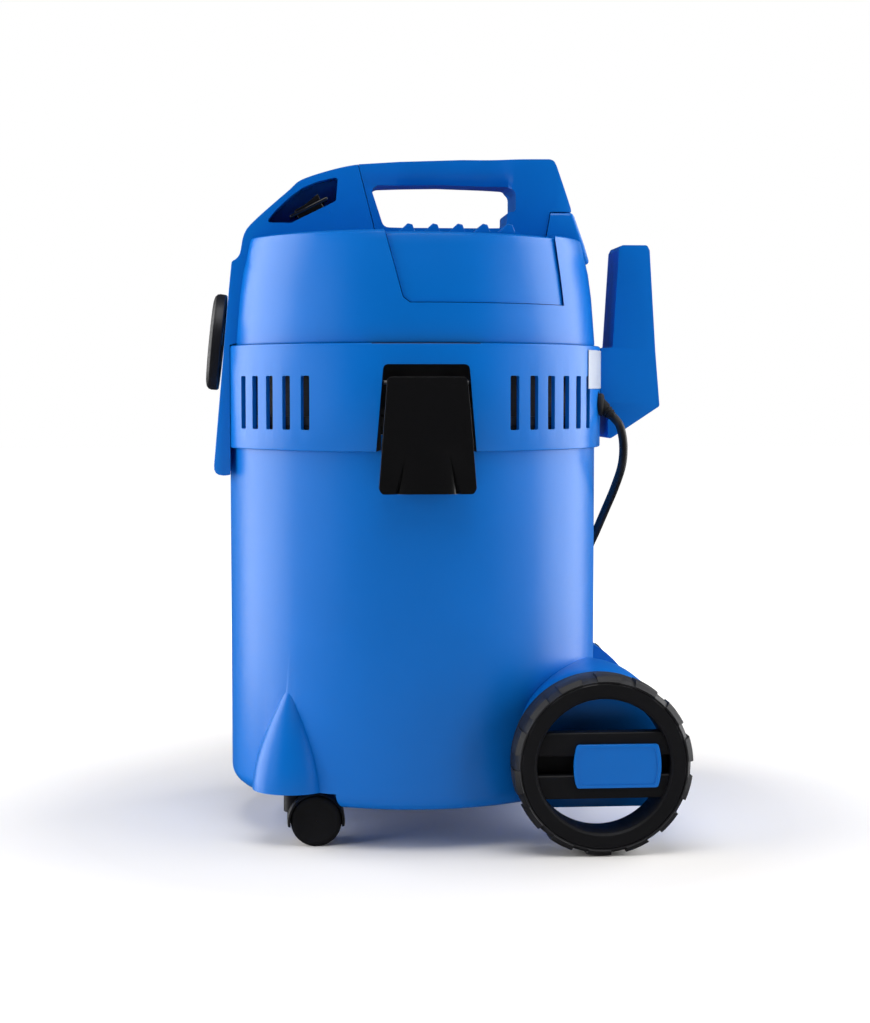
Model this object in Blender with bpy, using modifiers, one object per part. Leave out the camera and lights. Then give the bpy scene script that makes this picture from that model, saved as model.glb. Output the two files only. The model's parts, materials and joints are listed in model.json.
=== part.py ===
"""A wet and dry shop vacuum: a tank on two wheels and two casters, under a lift-off motor head.

Metres, +Z up, front towards -Y, the machine's left side towards +X. Everything is drawn about the
tank's vertical axis, and the last step moves it so that the origin is under the middle of the machine.
"""
from math import atan2, cos, pi, radians, sin, sqrt

import bmesh
import bpy
from mathutils import Matrix, Vector

# ---------------------------------------------------------------- driving dimensions
GAP = 0.0003                 # between faces that touch on the real machine
SIDES = {"left": 1, "right": -1}
ROUND_STEPS = 32             # facets round a large turned piece
MEDIUM_STEPS = 20            # round a middle-sized one
SMALL_STEPS = 12             # facets round a small one

FRONT_MOST = -0.1597         # lower edge of the hose inlet
REAR_MOST = 0.1906           # rear corner of the accessory post
MACHINE_SHIFT_Y = -(FRONT_MOST + REAR_MOST) / 2

WALL = 0.003
TANK_RADIUS = 0.1415
TANK_BOTTOM_Z = 0.029
TANK_RIM_Z = 0.300
TANK_EDGE_RADIUS = 0.012

SKIRT_INNER_RADIUS = TANK_RADIUS + 0.0007
SKIRT_OUTER_RADIUS = 0.1457
SKIRT_BOTTOM_Z = 0.288
SKIRT_TOP_Z = 0.365
SLOT_WIDTH = 0.0075
SLOT_Z = (0.303, 0.342)
SLOT_PITCH = radians(6.85)
FRONT_SLOTS = (radians(-63.3), 5)    # first angle from the side, towards the rear, and how many
REAR_SLOTS = (radians(26.2), 6)

COVER_BOTTOM_Z = SKIRT_TOP_Z + GAP
DOME_PROFILE = (                     # radius and height, from the top of the deck to the seam
    (0.0, 0.4520), (0.060, 0.4512), (0.100, 0.4480), (0.122, 0.4445), (0.1300, 0.4410),
    (0.1328, 0.4340), (0.136, 0.420), (0.1385, 0.402), (0.140, 0.384), (0.1416, COVER_BOTTOM_Z),
)
SPINE_HALF_WIDTH = 0.040
HUMP_OUTLINE = (                     # Y and Z of the front spine and hump, from its lower lip
    (-0.1538, 0.267), (-0.141, 0.407), (-0.1388, 0.428), (-0.133, 0.4325), (-0.1295, 0.448),
    (-0.122, 0.458), (-0.096, 0.481), (-0.086, 0.4895), (-0.062, 0.498), (-0.042, 0.5025),
    (-0.020, 0.5045),
)
RIDGE_PLAN = (                       # Y and half width of the hump, grip and rear post, from above
    (-0.170, 0.040), (-0.100, 0.040), (-0.042, 0.027), (-0.008, 0.019), (0.060, 0.019),
    (0.080, 0.028), (0.130, 0.032),
)
HANDLE_SEAM = ((-0.0445, 0.509), (-0.016, 0.398), (-0.011, 0.394), (0.105, 0.394), (0.099, 0.443),
               (0.1035, 0.4675), (0.135, 0.4675), (0.135, 0.520), (-0.0475, 0.520))
GRIP_OUTLINE = (
    (-0.060, 0.430), (-0.060, 0.4985), (-0.042, 0.5025), (-0.010, 0.5055), (0.037, 0.5073),
    (0.1045, 0.5073), (0.108, 0.506), (0.1105, 0.502), (0.1225, 0.4678), (0.108, 0.440),
)
HAND_OPENING = (
    (-0.0330, 0.4840), (-0.0285, 0.4875), (0.020, 0.4885), (0.0720, 0.4870), (0.0775, 0.4830),
    (0.0775, 0.4675), (0.0710, 0.4675), (0.0710, 0.4555), (-0.0235, 0.4555),
)
LOUVRE_COUNT = 5
LOUVRE_PITCH = 0.0185
LOUVRE_FIRST_Y = -0.010

PLATE_Z = (0.3066, 0.3125)
SEAL_Z = (TANK_RIM_Z + GAP, 0.3063)

INLET_Z = 0.368
INLET_TILT = radians(6.0)
INLET_Y = -0.1470
INLET_RADIUS = 0.037
HOSE_BORE_RADIUS = 0.018
ELBOW_RADIUS = 0.021
ELBOW_BEND = 0.030

LATCH_PIN_X = 0.1395
LATCH_PIN_Z = 0.337
LATCH_POCKET_HALF = 0.0305
LATCH_POCKET_TOP_Z = 0.350

AXLE_Y = 0.125
WHEEL_RADIUS = 0.065
WHEEL_HUB_RADIUS = 0.014
RIM_RADIUS = 0.0578
RIM_OPENING = 0.0478
WHEEL_X = (0.1290, 0.1640)
BAR_HEIGHT = 0.017
BAR_GAP = 0.0136
HOUSING_RADIUS = 0.0635
HOUSING_X = (0.060, 0.1240)
AXLE_RADIUS = 0.005

CASTER_X = 0.100
CASTER_Y = -0.0935
CASTER_TRAIL = 0.015
CASTER_WHEEL_RADIUS = 0.0186
CASTER_HOOD_RADIUS = 0.0210
CASTER_POCKET_RADIUS = 0.0388
CASTER_POCKET_Z = 0.0402
FOOT_CENTRE = (0.098, -0.096)
FOOT_RADIUS = 0.029
FOOT_APEX_Z = 0.119

MOTOR_RADIUS = 0.072
SWITCH_Y = -0.0800
SWITCH_Z = 0.4675
SWITCH_X = 0.0245
SWITCH_SLOPE = atan2(0.0144, 0.0284)

CORD_RADIUS = 0.0033
GLAND_ANGLE = radians(74.1)
GLAND_Z = 0.322
GLAND_DIP = radians(45)
COIL_CENTRE = (-0.262, 0.000)
COIL_RING = (0.0365, 0.0635)
COIL_TOP_Z = 0.0268
CORD_SPACING = 0.015


# ---------------------------------------------------------------- tools
def clear_scene():
    for obj in list(bpy.data.objects):
        bpy.data.objects.remove(obj, do_unlink=True)


def new_collection(name):
    collection = bpy.data.collections.new(name)
    bpy.context.scene.collection.children.link(collection)
    return collection


def material(name, colour, roughness, metallic=0.0):
    made = bpy.data.materials.new(name)
    made.use_nodes = True
    shader = made.node_tree.nodes["Principled BSDF"]
    shader.inputs["Base Color"].default_value = (*colour, 1.0)
    shader.inputs["Roughness"].default_value = roughness
    shader.inputs["Metallic"].default_value = metallic
    return made


def part(obj, finish):
    """Makes an object one of the machine's parts, with its own material."""
    for old in list(obj.users_collection):
        old.objects.unlink(obj)
    PARTS.objects.link(obj)
    obj.hide_render = False
    obj.display_type = "TEXTURED"
    colour, roughness, metallic = FINISHES[finish]
    obj.data.materials.clear()
    obj.data.materials.append(material(obj.name, colour, roughness, metallic))
    return obj


def tool(obj):
    """Files an object away as a cutter or as something that is joined to another."""
    TOOLS.objects.link(obj)
    obj.hide_render = True
    obj.display_type = "WIRE"
    return obj


def from_bmesh(name, shape):
    mesh = bpy.data.meshes.new(name)
    shape.to_mesh(mesh)
    shape.free()
    return tool(bpy.data.objects.new(name, mesh))


def box(name, corner, opposite):
    """A block between two opposite corners."""
    shape = bmesh.new()
    bmesh.ops.create_cube(shape, size=1.0)
    low = Vector(min(a, b) for a, b in zip(corner, opposite))
    high = Vector(max(a, b) for a, b in zip(corner, opposite))
    size = high - low
    bmesh.ops.scale(shape, vec=size, verts=shape.verts)
    bmesh.ops.translate(shape, vec=(low + high) / 2, verts=shape.verts)
    return from_bmesh(name, shape)


def rod(name, radius, start, end, steps=SMALL_STEPS, end_radius=None):
    """A round bar or cone between two points."""
    start, end = Vector(start), Vector(end)
    along = end - start
    shape = bmesh.new()
    bmesh.ops.create_cone(shape, cap_ends=True, segments=steps, radius1=radius,
                          radius2=radius if end_radius is None else end_radius, depth=along.length)
    turn = along.to_track_quat("Z", "Y").to_matrix().to_4x4()
    bmesh.ops.transform(shape, matrix=Matrix.Translation((start + end) / 2) @ turn, verts=shape.verts)
    return from_bmesh(name, shape)


def turned(name, profile, steps=ROUND_STEPS, ring=False, centre=(0, 0, 0), axis=(0, 0, 1)):
    """A profile of (radius, height) turned about an axis. A ring's profile closes on itself."""
    mesh = bpy.data.meshes.new(name)
    points = [(radius, 0, height) for radius, height in profile]
    edges = [(i, i + 1) for i in range(len(points) - 1)]
    if ring:
        edges.append((len(points) - 1, 0))
    mesh.from_pydata(points, edges, [])
    obj = tool(bpy.data.objects.new(name, mesh))
    screw = obj.modifiers.new("turn", "SCREW")
    screw.steps = screw.render_steps = steps
    screw.use_merge_vertices = True
    screw.merge_threshold = 0.00001
    obj.location = centre
    obj.rotation_euler = Vector(axis).to_track_quat("Z", "Y").to_euler()
    return obj


def tube_ring(name, inner, outer, low, high, steps=ROUND_STEPS, centre=(0, 0, 0), axis=(0, 0, 1)):
    """A plain ring with a square section."""
    profile = ((outer, high), (outer, low), (inner, low), (inner, high))
    return turned(name, profile, steps, True, centre, axis)


def slab(name, outline, low, high, plane="YZ"):
    """A flat outline with a thickness. In plane YZ it runs along X, and in plane XY it runs along Z."""
    curve = bpy.data.curves.new(name, "CURVE")
    curve.dimensions = "2D"
    curve.fill_mode = "BOTH"
    curve.extrude = (high - low) / 2
    spline = curve.splines.new("POLY")
    spline.points.add(len(outline) - 1)
    for point, (u, v) in zip(spline.points, outline):
        point.co = (u, v, 0, 1)
    spline.use_cyclic_u = True
    drawn = tool(bpy.data.objects.new(name, curve))
    middle = (low + high) / 2
    if plane == "YZ":
        drawn.rotation_euler = (pi / 2, 0, pi / 2)
        drawn.location = (middle, 0, 0)
    else:
        drawn.location = (0, 0, middle)
    return as_mesh(drawn)


def as_mesh(drawn):
    """Replaces a curve object with a mesh of it, in world space, with its caps welded."""
    bpy.context.view_layer.update()
    evaluated = drawn.evaluated_get(bpy.context.evaluated_depsgraph_get())
    mesh = bpy.data.meshes.new_from_object(evaluated)
    mesh.transform(drawn.matrix_world)
    shape = bmesh.new()
    shape.from_mesh(mesh)
    bmesh.ops.remove_doubles(shape, verts=shape.verts, dist=0.00001)
    bmesh.ops.recalc_face_normals(shape, faces=shape.faces)
    shape.to_mesh(mesh)
    shape.free()
    name = drawn.name
    bpy.data.objects.remove(drawn)
    mesh.name = name
    return tool(bpy.data.objects.new(name, mesh))


def tube(name, points, radius, resolution=3):
    """A round tube along a list of points, as a curve."""
    curve = bpy.data.curves.new(name, "CURVE")
    curve.dimensions = "3D"
    curve.bevel_depth = radius
    curve.bevel_resolution = resolution
    curve.use_fill_caps = True
    curve.resolution_u = 1
    spline = curve.splines.new("POLY")
    spline.points.add(len(points) - 1)
    for point, spot in zip(spline.points, points):
        point.co = (*spot, 1)
    return tool(bpy.data.objects.new(name, curve))


def combine(obj, operation, others):
    for other in others:
        modifier = obj.modifiers.new(operation.lower(), "BOOLEAN")
        modifier.operation = operation
        modifier.object = other
        modifier.solver = "EXACT"
    return obj


def join(obj, *others):
    return combine(obj, "UNION", others)


def cut(obj, *others):
    return combine(obj, "DIFFERENCE", others)


def keep(obj, *others):
    return combine(obj, "INTERSECT", others)


def set_origin(obj, point):
    """Moves an object's origin, and leaves its shape where it is."""
    point = Vector(point)
    obj.data.transform(Matrix.Translation(obj.location - point))
    obj.location = point
    return obj


def radial_box(name, angle, radius_low, radius_high, width, z_low, z_high, side=1):
    """A block that points outwards at an angle from the side of the machine towards its rear."""
    block = box(name, (radius_low, -width / 2, z_low), (radius_high, width / 2, z_high))
    block.data.transform(Matrix.Rotation(angle if side > 0 else pi - angle, 4, "Z"))
    return block


def arc(centre, radius, start, end, steps):
    """Points of an arc, between two angles in degrees."""
    angles = [radians(start + (end - start) * i / steps) for i in range(steps + 1)]
    return [(centre[0] + radius * cos(a), centre[1] + radius * sin(a)) for a in angles]


def ridge_plan(name, low, high, grow=0.0):
    """The outline from above that the hump, the grip and the rear post share."""
    right = [(half + grow, y) for y, half in RIDGE_PLAN]
    left = [(-x, y) for x, y in reversed(right)]
    return slab(name, right + left, low, high, "XY")


# ---------------------------------------------------------------- tank
def tank_profile(inset, top):
    """The tank's outer outline, or one that is set in from it."""
    edge = TANK_EDGE_RADIUS
    corner = arc((TANK_RADIUS - edge, TANK_BOTTOM_Z + edge), edge - inset, 0, -90, 4)
    return [(0, top), (TANK_RADIUS - inset, top)] + corner + [(0, TANK_BOTTOM_Z + inset)]


def tank_body():
    body = turned("tank", tank_profile(0, TANK_RIM_Z))
    for side, sign in SIDES.items():
        near, far = HOUSING_X
        housing = rod(f"housing_{side}", HOUSING_RADIUS, (sign * near, AXLE_Y, WHEEL_RADIUS),
                      (sign * far, AXLE_Y, WHEEL_RADIUS), ROUND_STEPS)
        cut(housing, box(f"housing_floor_{side}", (-0.2, 0.0, -0.01), (0.2, 0.25, TANK_BOTTOM_Z - 0.0015)))
        foot = [(0, FOOT_APEX_Z), (0.006, 0.108), (0.0125, 0.095), (0.019, 0.079), (0.0245, 0.0625),
                (0.0278, 0.049), (FOOT_RADIUS, 0.036), (0, 0.036)]
        foot = turned(f"foot_{side}", foot, MEDIUM_STEPS, centre=(sign * FOOT_CENTRE[0], FOOT_CENTRE[1], 0))
        catch = box(f"catch_{side}", (sign * 0.139, -0.020, 0.263), (sign * 0.1440, 0.020, 0.272))
        join(body, housing, foot, catch)
    cut(body, turned("tank_inside", tank_profile(WALL, TANK_RIM_Z + 0.01)))
    for side, sign in SIDES.items():
        x = sign * CASTER_X
        pocket_wall = rod(f"pocket_wall_{side}", CASTER_POCKET_RADIUS + WALL, (x, CASTER_Y, 0.02),
                          (x, CASTER_Y, CASTER_POCKET_Z + WALL), MEDIUM_STEPS)
        join(body, keep(pocket_wall, turned(f"pocket_limit_{side}", tank_profile(0.001, 0.1))))
        join(body, rod(f"column_{side}", 0.0125, (x, CASTER_Y, 0.035), (x, CASTER_Y, 0.085)))
        cut(body, rod(f"pocket_{side}", CASTER_POCKET_RADIUS, (x, CASTER_Y, 0.0),
                      (x, CASTER_Y, CASTER_POCKET_Z), MEDIUM_STEPS))
        cut(body, rod(f"socket_hole_{side}", 0.0088, (x, CASTER_Y, 0.02), (x, CASTER_Y, 0.078)))
        cut(body, rod(f"axle_hole_{side}", AXLE_RADIUS + GAP, (sign * 0.080, AXLE_Y, WHEEL_RADIUS),
                      (sign * 0.20, AXLE_Y, WHEEL_RADIUS)))
    part(body, "body_blue")


def stub_axle(side, sign):
    shaft = rod(f"stub_axle_{side}", AXLE_RADIUS, (sign * 0.0805, AXLE_Y, WHEEL_RADIUS),
                (sign * 0.1560, AXLE_Y, WHEEL_RADIUS))
    part(shaft, "steel")


# ---------------------------------------------------------------- rear wheels
def rear_wheel(side, sign):
    centre = (0, AXLE_Y, WHEEL_RADIUS)
    axis = (sign, 0, 0)
    inner, outer = WHEEL_X
    rim = tube_ring(f"wheel_rim_{side}", RIM_OPENING, RIM_RADIUS, inner + 0.003, outer, ROUND_STEPS,
                    centre, axis)
    for number, offset in enumerate((-1, 1)):
        low = offset * (BAR_GAP / 2 + BAR_HEIGHT / 2) - BAR_HEIGHT / 2 + WHEEL_RADIUS
        half = sqrt(RIM_RADIUS ** 2 - (BAR_GAP / 2 + BAR_HEIGHT) ** 2) - 0.002
        bar = box(f"bar_{side}_{number}", (sign * 0.1480, AXLE_Y - half, low),
                  (sign * 0.1605, AXLE_Y + half, low + BAR_HEIGHT))
        join(rim, bar)
    reach, half = RIM_OPENING + 0.004, BAR_GAP / 2 + 0.003
    join(rim, box(f"web_{side}", (sign * 0.1440, AXLE_Y - reach, WHEEL_RADIUS - half),
                  (sign * 0.1490, AXLE_Y + reach, WHEEL_RADIUS + half)))
    join(rim, rod(f"hub_{side}", WHEEL_HUB_RADIUS, (sign * inner, AXLE_Y, WHEEL_RADIUS),
                  (sign * 0.1585, AXLE_Y, WHEEL_RADIUS)))
    cut(rim, rod(f"hub_bore_{side}", AXLE_RADIUS + GAP, (sign * 0.10, AXLE_Y, WHEEL_RADIUS),
                 (sign * 0.1565, AXLE_Y, WHEEL_RADIUS)))
    part(rim, "wheel_black")
    tyre = [(WHEEL_RADIUS, outer - 0.006), (WHEEL_RADIUS, inner + 0.004), (WHEEL_RADIUS - 0.003, inner),
            (RIM_RADIUS + GAP, inner), (RIM_RADIUS + GAP, outer + 0.001), (WHEEL_RADIUS - 0.0035, outer)]
    tyre = turned(f"tyre_{side}", tyre, ROUND_STEPS, True, centre, axis)
    part(tyre, "tyre_black")
    badge = box(f"wheel_badge_{side}", (sign * 0.1608, AXLE_Y + 0.0095 - 0.0315, WHEEL_RADIUS - 0.017),
                (sign * 0.1640, AXLE_Y + 0.0095 + 0.0315, WHEEL_RADIUS + 0.017))
    part(badge, "body_blue")


# ---------------------------------------------------------------- casters
def caster(side, sign):
    x = sign * CASTER_X
    wheel_y = CASTER_Y + CASTER_TRAIL
    axle_z = CASTER_WHEEL_RADIUS
    bush = tube_ring(f"caster_socket_{side}", 0.0053, 0.0085, 0.0405, 0.0775, SMALL_STEPS, (x, CASTER_Y, 0))
    part(bush, "wheel_black")
    stem = rod(f"caster_stem_{side}", 0.005, (x, CASTER_Y, 0.0354 + GAP), (x, CASTER_Y, 0.0775))
    part(stem, "steel")
    hood = rod(f"caster_hood_{side}", CASTER_HOOD_RADIUS, (x - 0.0170, wheel_y, axle_z),
               (x + 0.0170, wheel_y, axle_z), MEDIUM_STEPS)
    cut(hood, box(f"hood_cut_{side}", (x - 0.03, wheel_y - 0.03, -0.01),
                  (x + 0.03, wheel_y + 0.03, axle_z - 0.004)))
    join(hood, rod(f"caster_web_{side}", 0.012, (x - 0.0028, wheel_y, axle_z), (x + 0.0028, wheel_y, axle_z)))
    join(hood, rod(f"caster_boss_{side}", 0.0085, (x, CASTER_Y, 0.0235), (x, CASTER_Y, 0.0397)))
    for number, offset in enumerate((-1, 1)):
        space = rod(f"wheel_space_{side}_{number}", CASTER_WHEEL_RADIUS + 0.0005,
                    (x + offset * 0.0028, wheel_y, axle_z),
                    (x + offset * 0.0260, wheel_y, axle_z), MEDIUM_STEPS)
        cut(hood, space)
        half = "outer" if offset * sign > 0 else "inner"
        wheel = rod(f"caster_wheel_{half}_{side}", CASTER_WHEEL_RADIUS,
                    (x + offset * 0.0034, wheel_y, axle_z),
                    (x + offset * 0.0162, wheel_y, axle_z), MEDIUM_STEPS)
        bore = rod(f"caster_bore_{side}_{number}", 0.0025 + GAP, (x + offset * 0.002, wheel_y, axle_z),
                   (x + offset * 0.0142, wheel_y, axle_z), SMALL_STEPS)
        part(cut(wheel, bore), "wheel_black")
    cut(hood, rod(f"pin_bore_{side}", 0.0025 + GAP, (x - 0.01, wheel_y, axle_z), (x + 0.01, wheel_y, axle_z)))
    cut(hood, rod(f"stem_bore_{side}", 0.005 + GAP, (x, CASTER_Y, 0.0354), (x, CASTER_Y, 0.05)))
    part(hood, "wheel_black")
    pin = rod(f"caster_axle_{side}", 0.0025, (x - 0.0138, wheel_y, axle_z), (x + 0.0138, wheel_y, axle_z))
    part(pin, "steel")


# ---------------------------------------------------------------- head: skirt, cover and handle
def vent_slots(name):
    """All the cooling slots round the skirt, as one set of cutters."""
    cutters = []
    for side, sign in SIDES.items():
        for first, count in (FRONT_SLOTS, REAR_SLOTS):
            for number in range(count):
                angle = first + number * SLOT_PITCH
                cutters.append(radial_box(f"{name}_{side}_{len(cutters)}", angle, 0.135, 0.155, SLOT_WIDTH,
                                          SLOT_Z[0], SLOT_Z[1], sign))
    return merged(name, cutters)


def merged(name, objects):
    """Several meshes that don't touch, as one cutter."""
    shape = bmesh.new()
    for obj in objects:
        shape.from_mesh(obj.data)
        bpy.data.objects.remove(obj)
    return from_bmesh(name, shape)


def head_skirt():
    skirt = tube_ring("head_skirt", SKIRT_INNER_RADIUS, SKIRT_OUTER_RADIUS, SKIRT_BOTTOM_Z, SKIRT_TOP_Z)
    for side, sign in SIDES.items():
        half = LATCH_POCKET_HALF
        join(skirt, box(f"pocket_block_{side}", (sign * 0.1295, -half - 0.003, 0.3145),
                        (sign * 0.1432, half + 0.003, LATCH_POCKET_TOP_Z + 0.003)))
        cut(skirt, box(f"pocket_space_{side}", (sign * 0.1320, -half, 0.3175),
                       (sign * 0.16, half, LATCH_POCKET_TOP_Z)))
        cut(skirt, box(f"pocket_mouth_{side}", (sign * 0.1385, -half, 0.28), (sign * 0.16, half, 0.3180)))
    cut(skirt, vent_slots("vent_slots"))
    bore = rod("skirt_bore", ELBOW_RADIUS + 0.0006, (0, -0.16, INLET_Z), (0, -0.12, INLET_Z), MEDIUM_STEPS)
    gland = rod("gland_hole", 0.0062, gland_point(-0.012), gland_point(0.012))
    cut(skirt, bore, gland)
    part(skirt, "body_blue")


def hump_solid(name, inset):
    """The spine and hump as a solid, or the hollow inside it when it is inset."""
    front = [(y + inset, z - inset * 0.8) for y, z in HUMP_OUTLINE]
    if inset:
        front = [(-0.1385, COVER_BOTTOM_Z + 0.004)] + front[1:]
        outline = front + [(-0.020, 0.42), (-0.10, 0.40), (-0.12, COVER_BOTTOM_Z + 0.004)]
    else:
        inner_z = COVER_BOTTOM_Z + 0.003
        outline = front + [(-0.020, 0.42), (-0.10, 0.40), (-0.12, inner_z), (-0.137, inner_z),
                           (-0.137, 0.267)]
    solid = slab(name, outline, -SPINE_HALF_WIDTH - 0.01, SPINE_HALF_WIDTH + 0.01)
    keep(solid, ridge_plan(f"{name}_plan", 0.25, 0.55, -inset))
    if not inset:
        radius = SKIRT_OUTER_RADIUS + 0.0005
        back_z = COVER_BOTTOM_Z + 0.0015
        cut(solid, turned("spine_back", ((0, back_z), (TANK_RADIUS - 0.0005, back_z),
                                         (radius, COVER_BOTTOM_Z), (radius, 0.2), (0, 0.2))))
    return solid


def dome_profile(inset):
    if not inset:
        return list(DOME_PROFILE) + [(0, COVER_BOTTOM_Z)]
    rows = [(max(radius - inset, 0), height - inset) for radius, height in DOME_PROFILE[:-1]]
    last = DOME_PROFILE[-1][0] - inset
    return rows + [(last, COVER_BOTTOM_Z - 0.001), (0, COVER_BOTTOM_Z - 0.001)]


def handle_region(name, grow=0.0):
    """The space that the handle cover takes from the dome, between its two side seams."""
    outline = [(y, z) for y, z in HANDLE_SEAM]
    if grow:
        outline = [(y - grow if y < 0.05 else y + grow, z - grow if z < 0.5 else z) for y, z in outline]
    return slab(name, outline, -0.16, 0.16)


def head_cover():
    cover = turned("head_cover", dome_profile(0))
    rear_wedge = ((0.090, 0.42), (0.1335, 0.430), (0.1325, 0.443), (0.1232, 0.4672), (0.090, 0.4672))
    join(cover, hump_solid("hump", 0))
    join(cover, slab("rear_wedge", rear_wedge, -0.031, 0.031))
    cut(cover, turned("dome_inside", dome_profile(WALL)))
    cut(cover, hump_solid("hump_inside", WALL))
    cut(cover, handle_region("handle_seam", GAP))
    recess = [(-0.1134, 0.457), (-0.094, 0.457), (-0.0654, 0.4716), (-0.060, 0.4744), (-0.0585, 0.4893),
              (-0.060, 0.515), (-0.1152, 0.515)]
    tray = ((-0.1175, 0.4525), (-0.0915, 0.4525), (-0.0540, 0.4715), (-0.0545, 0.4985), (-0.0860, 0.4882),
            (-0.0960, 0.4797), (-0.1175, 0.4605))
    join(cover, slab("switch_tray", tray, 0.0075, 0.0290))
    cut(cover, slab("switch_recess", recess, 0.0105, 0.05))
    slot = box("switch_slot", (SWITCH_X - 0.0077, -0.0125, -0.020), (SWITCH_X + 0.0077, 0.0125, 0.010))
    slot.data.transform(Matrix.Translation((0, SWITCH_Y, SWITCH_Z)) @ Matrix.Rotation(SWITCH_SLOPE, 4, "X"))
    cut(cover, slot)
    bore = rod("cover_bore", ELBOW_RADIUS + 0.0006, (0, -0.17, INLET_Z), (0, -0.12, INLET_Z), MEDIUM_STEPS)
    cut(cover, bore)
    part(cover, "body_blue")


def handle_cover():
    shell = turned("handle_cover", dome_profile(0))
    cut(shell, turned("deck_inside", dome_profile(WALL)))
    grip = slab("grip", GRIP_OUTLINE, -0.05, 0.05)
    keep(grip, ridge_plan("grip_plan", 0.40, 0.55))
    cut(grip, slab("hand_opening", HAND_OPENING, -0.06, 0.06))
    cut(grip, turned("grip_underside", dome_profile(WALL * 0.6)))
    join(shell, grip)
    keep(shell, handle_region("handle_span"))
    for side, sign in SIDES.items():
        low, high = louvre_span()
        cut(shell, box(f"louvre_window_{side}", (sign * 0.034, low - GAP, 0.42),
                       (sign * (0.084 + GAP), high + GAP, 0.47)))
    part(shell, "body_blue")


def louvre_span():
    return LOUVRE_FIRST_Y - 0.010, LOUVRE_FIRST_Y + (LOUVRE_COUNT - 1) * LOUVRE_PITCH + 0.010


def deck_louvre(side, sign):
    """A grille of slanted ribs beside the handle, where the motor's cooling air comes in."""
    low, high = louvre_span()
    frame = box(f"deck_louvre_{side}", (sign * (0.034 + GAP), low, 0.4440), (sign * 0.084, high, 0.4475))
    for number in range(LOUVRE_COUNT):
        y = LOUVRE_FIRST_Y + number * LOUVRE_PITCH
        rib = ((y - 0.007, 0.446), (y + 0.007, 0.446), (y + 0.0045, 0.4535), (y + 0.001, 0.4540))
        join(frame, slab(f"rib_{side}_{number}", rib, *sorted((sign * 0.038, sign * 0.080))))
        if number:
            y -= LOUVRE_PITCH / 2
            cut(frame, box(f"air_gap_{side}_{number}", (sign * 0.041, y - 0.0017, 0.43),
                           (sign * 0.077, y + 0.0017, 0.47)))
    part(frame, "body_blue")


# ---------------------------------------------------------------- head: fittings
def switch():
    slope = Matrix.Translation((0, SWITCH_Y, SWITCH_Z)) @ Matrix.Rotation(SWITCH_SLOPE, 4, "X")
    bezel = box("switch_bezel", (SWITCH_X - 0.0105, -0.0160, GAP), (SWITCH_X + 0.0105, 0.0160, 0.0030))
    cut(bezel, box("bezel_window", (SWITCH_X - 0.0077, -0.0125, -0.01), (SWITCH_X + 0.0077, 0.0125, 0.01)))
    bezel.data.transform(slope)
    bezel.modifiers[0].object.data.transform(slope)
    part(bezel, "switch_black")
    outline = ((-0.0105, -0.004), (0.0105, -0.004), (0.0112, 0.0085), (0.0, 0.0055), (-0.0112, 0.0050))
    rocker = slab("switch_rocker", outline, SWITCH_X - 0.0072, SWITCH_X + 0.0072)
    rocker.data.transform(slope)
    part(set_origin(rocker, (SWITCH_X, SWITCH_Y, SWITCH_Z)), "switch_black")


def hose_inlet():
    tilt = (0, -cos(INLET_TILT), sin(INLET_TILT))
    centre = Vector((0, INLET_Y, INLET_Z))
    profile = ((INLET_RADIUS - 0.006, 0.0095), (INLET_RADIUS - 0.001, 0.0075), (INLET_RADIUS, 0.005),
               (INLET_RADIUS - 0.001, -0.0003), (HOSE_BORE_RADIUS, -0.0003), (HOSE_BORE_RADIUS, 0.0065),
               (HOSE_BORE_RADIUS + 0.003, 0.0085))
    collar = turned("inlet_collar", profile, MEDIUM_STEPS, True, centre, tilt)
    part(collar, "inlet_black")
    bend_centre = (INLET_Y + 0.0058, INLET_Z - ELBOW_BEND)
    bend = arc(bend_centre, ELBOW_BEND, 90, 0, 4)
    path = [(0, INLET_Y + 0.0035, INLET_Z)] + [(0, y, z) for y, z in bend] + [(0, bend[-1][0], 0.292)]
    elbow = as_mesh(tube("inlet_elbow", path, ELBOW_RADIUS, 3))
    inside = [(0, INLET_Y - 0.01, INLET_Z)] + path[1:-1] + [(0, bend[-1][0], 0.28)]
    cut(elbow, as_mesh(tube("elbow_inside", inside, HOSE_BORE_RADIUS, 3)))
    part(elbow, "inlet_black")


def accessory_post():
    outline = ((0.1580, 0.4390), (0.1600, 0.4430), (0.1800, 0.4430), (0.1820, 0.4390), (0.1870, 0.361),
               (REAR_MOST, 0.319), (0.1625, 0.3005), (0.1500, 0.2925), (0.1500, 0.322), (0.1400, 0.322),
               (0.1400, 0.364), (0.1535, 0.364))
    inside = ((0.1608, 0.4300), (0.1792, 0.4300), (0.1840, 0.361), (0.1872, 0.3215), (0.1872, 0.28),
              (0.1530, 0.28), (0.1530, 0.322), (0.1565, 0.361))
    post = slab("accessory_post", outline, -0.024, 0.024)
    cut(post, slab("post_inside", inside, -0.0212, 0.0212))
    back = SKIRT_OUTER_RADIUS + GAP
    cut(post, turned("post_back", ((0, 0.37), (back, 0.37), (back, 0.28), (0, 0.28))))
    part(post, "body_blue")


def rating_plate():
    back = SKIRT_OUTER_RADIUS + GAP
    plate = tube_ring("rating_plate", back, back + 0.0006, 0.3325, 0.3615, 96)
    keep(plate, radial_box("plate_span", radians(70.5), 0.13, 0.16, 0.034, 0.30, 0.38))
    part(plate, "label_white")


def gland_point(distance):
    """A point on the cord's way out of the skirt, outwards and down."""
    flat = SKIRT_OUTER_RADIUS + distance * cos(GLAND_DIP)
    return Vector((flat * cos(GLAND_ANGLE), flat * sin(GLAND_ANGLE), GLAND_Z - distance * sin(GLAND_DIP)))


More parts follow.
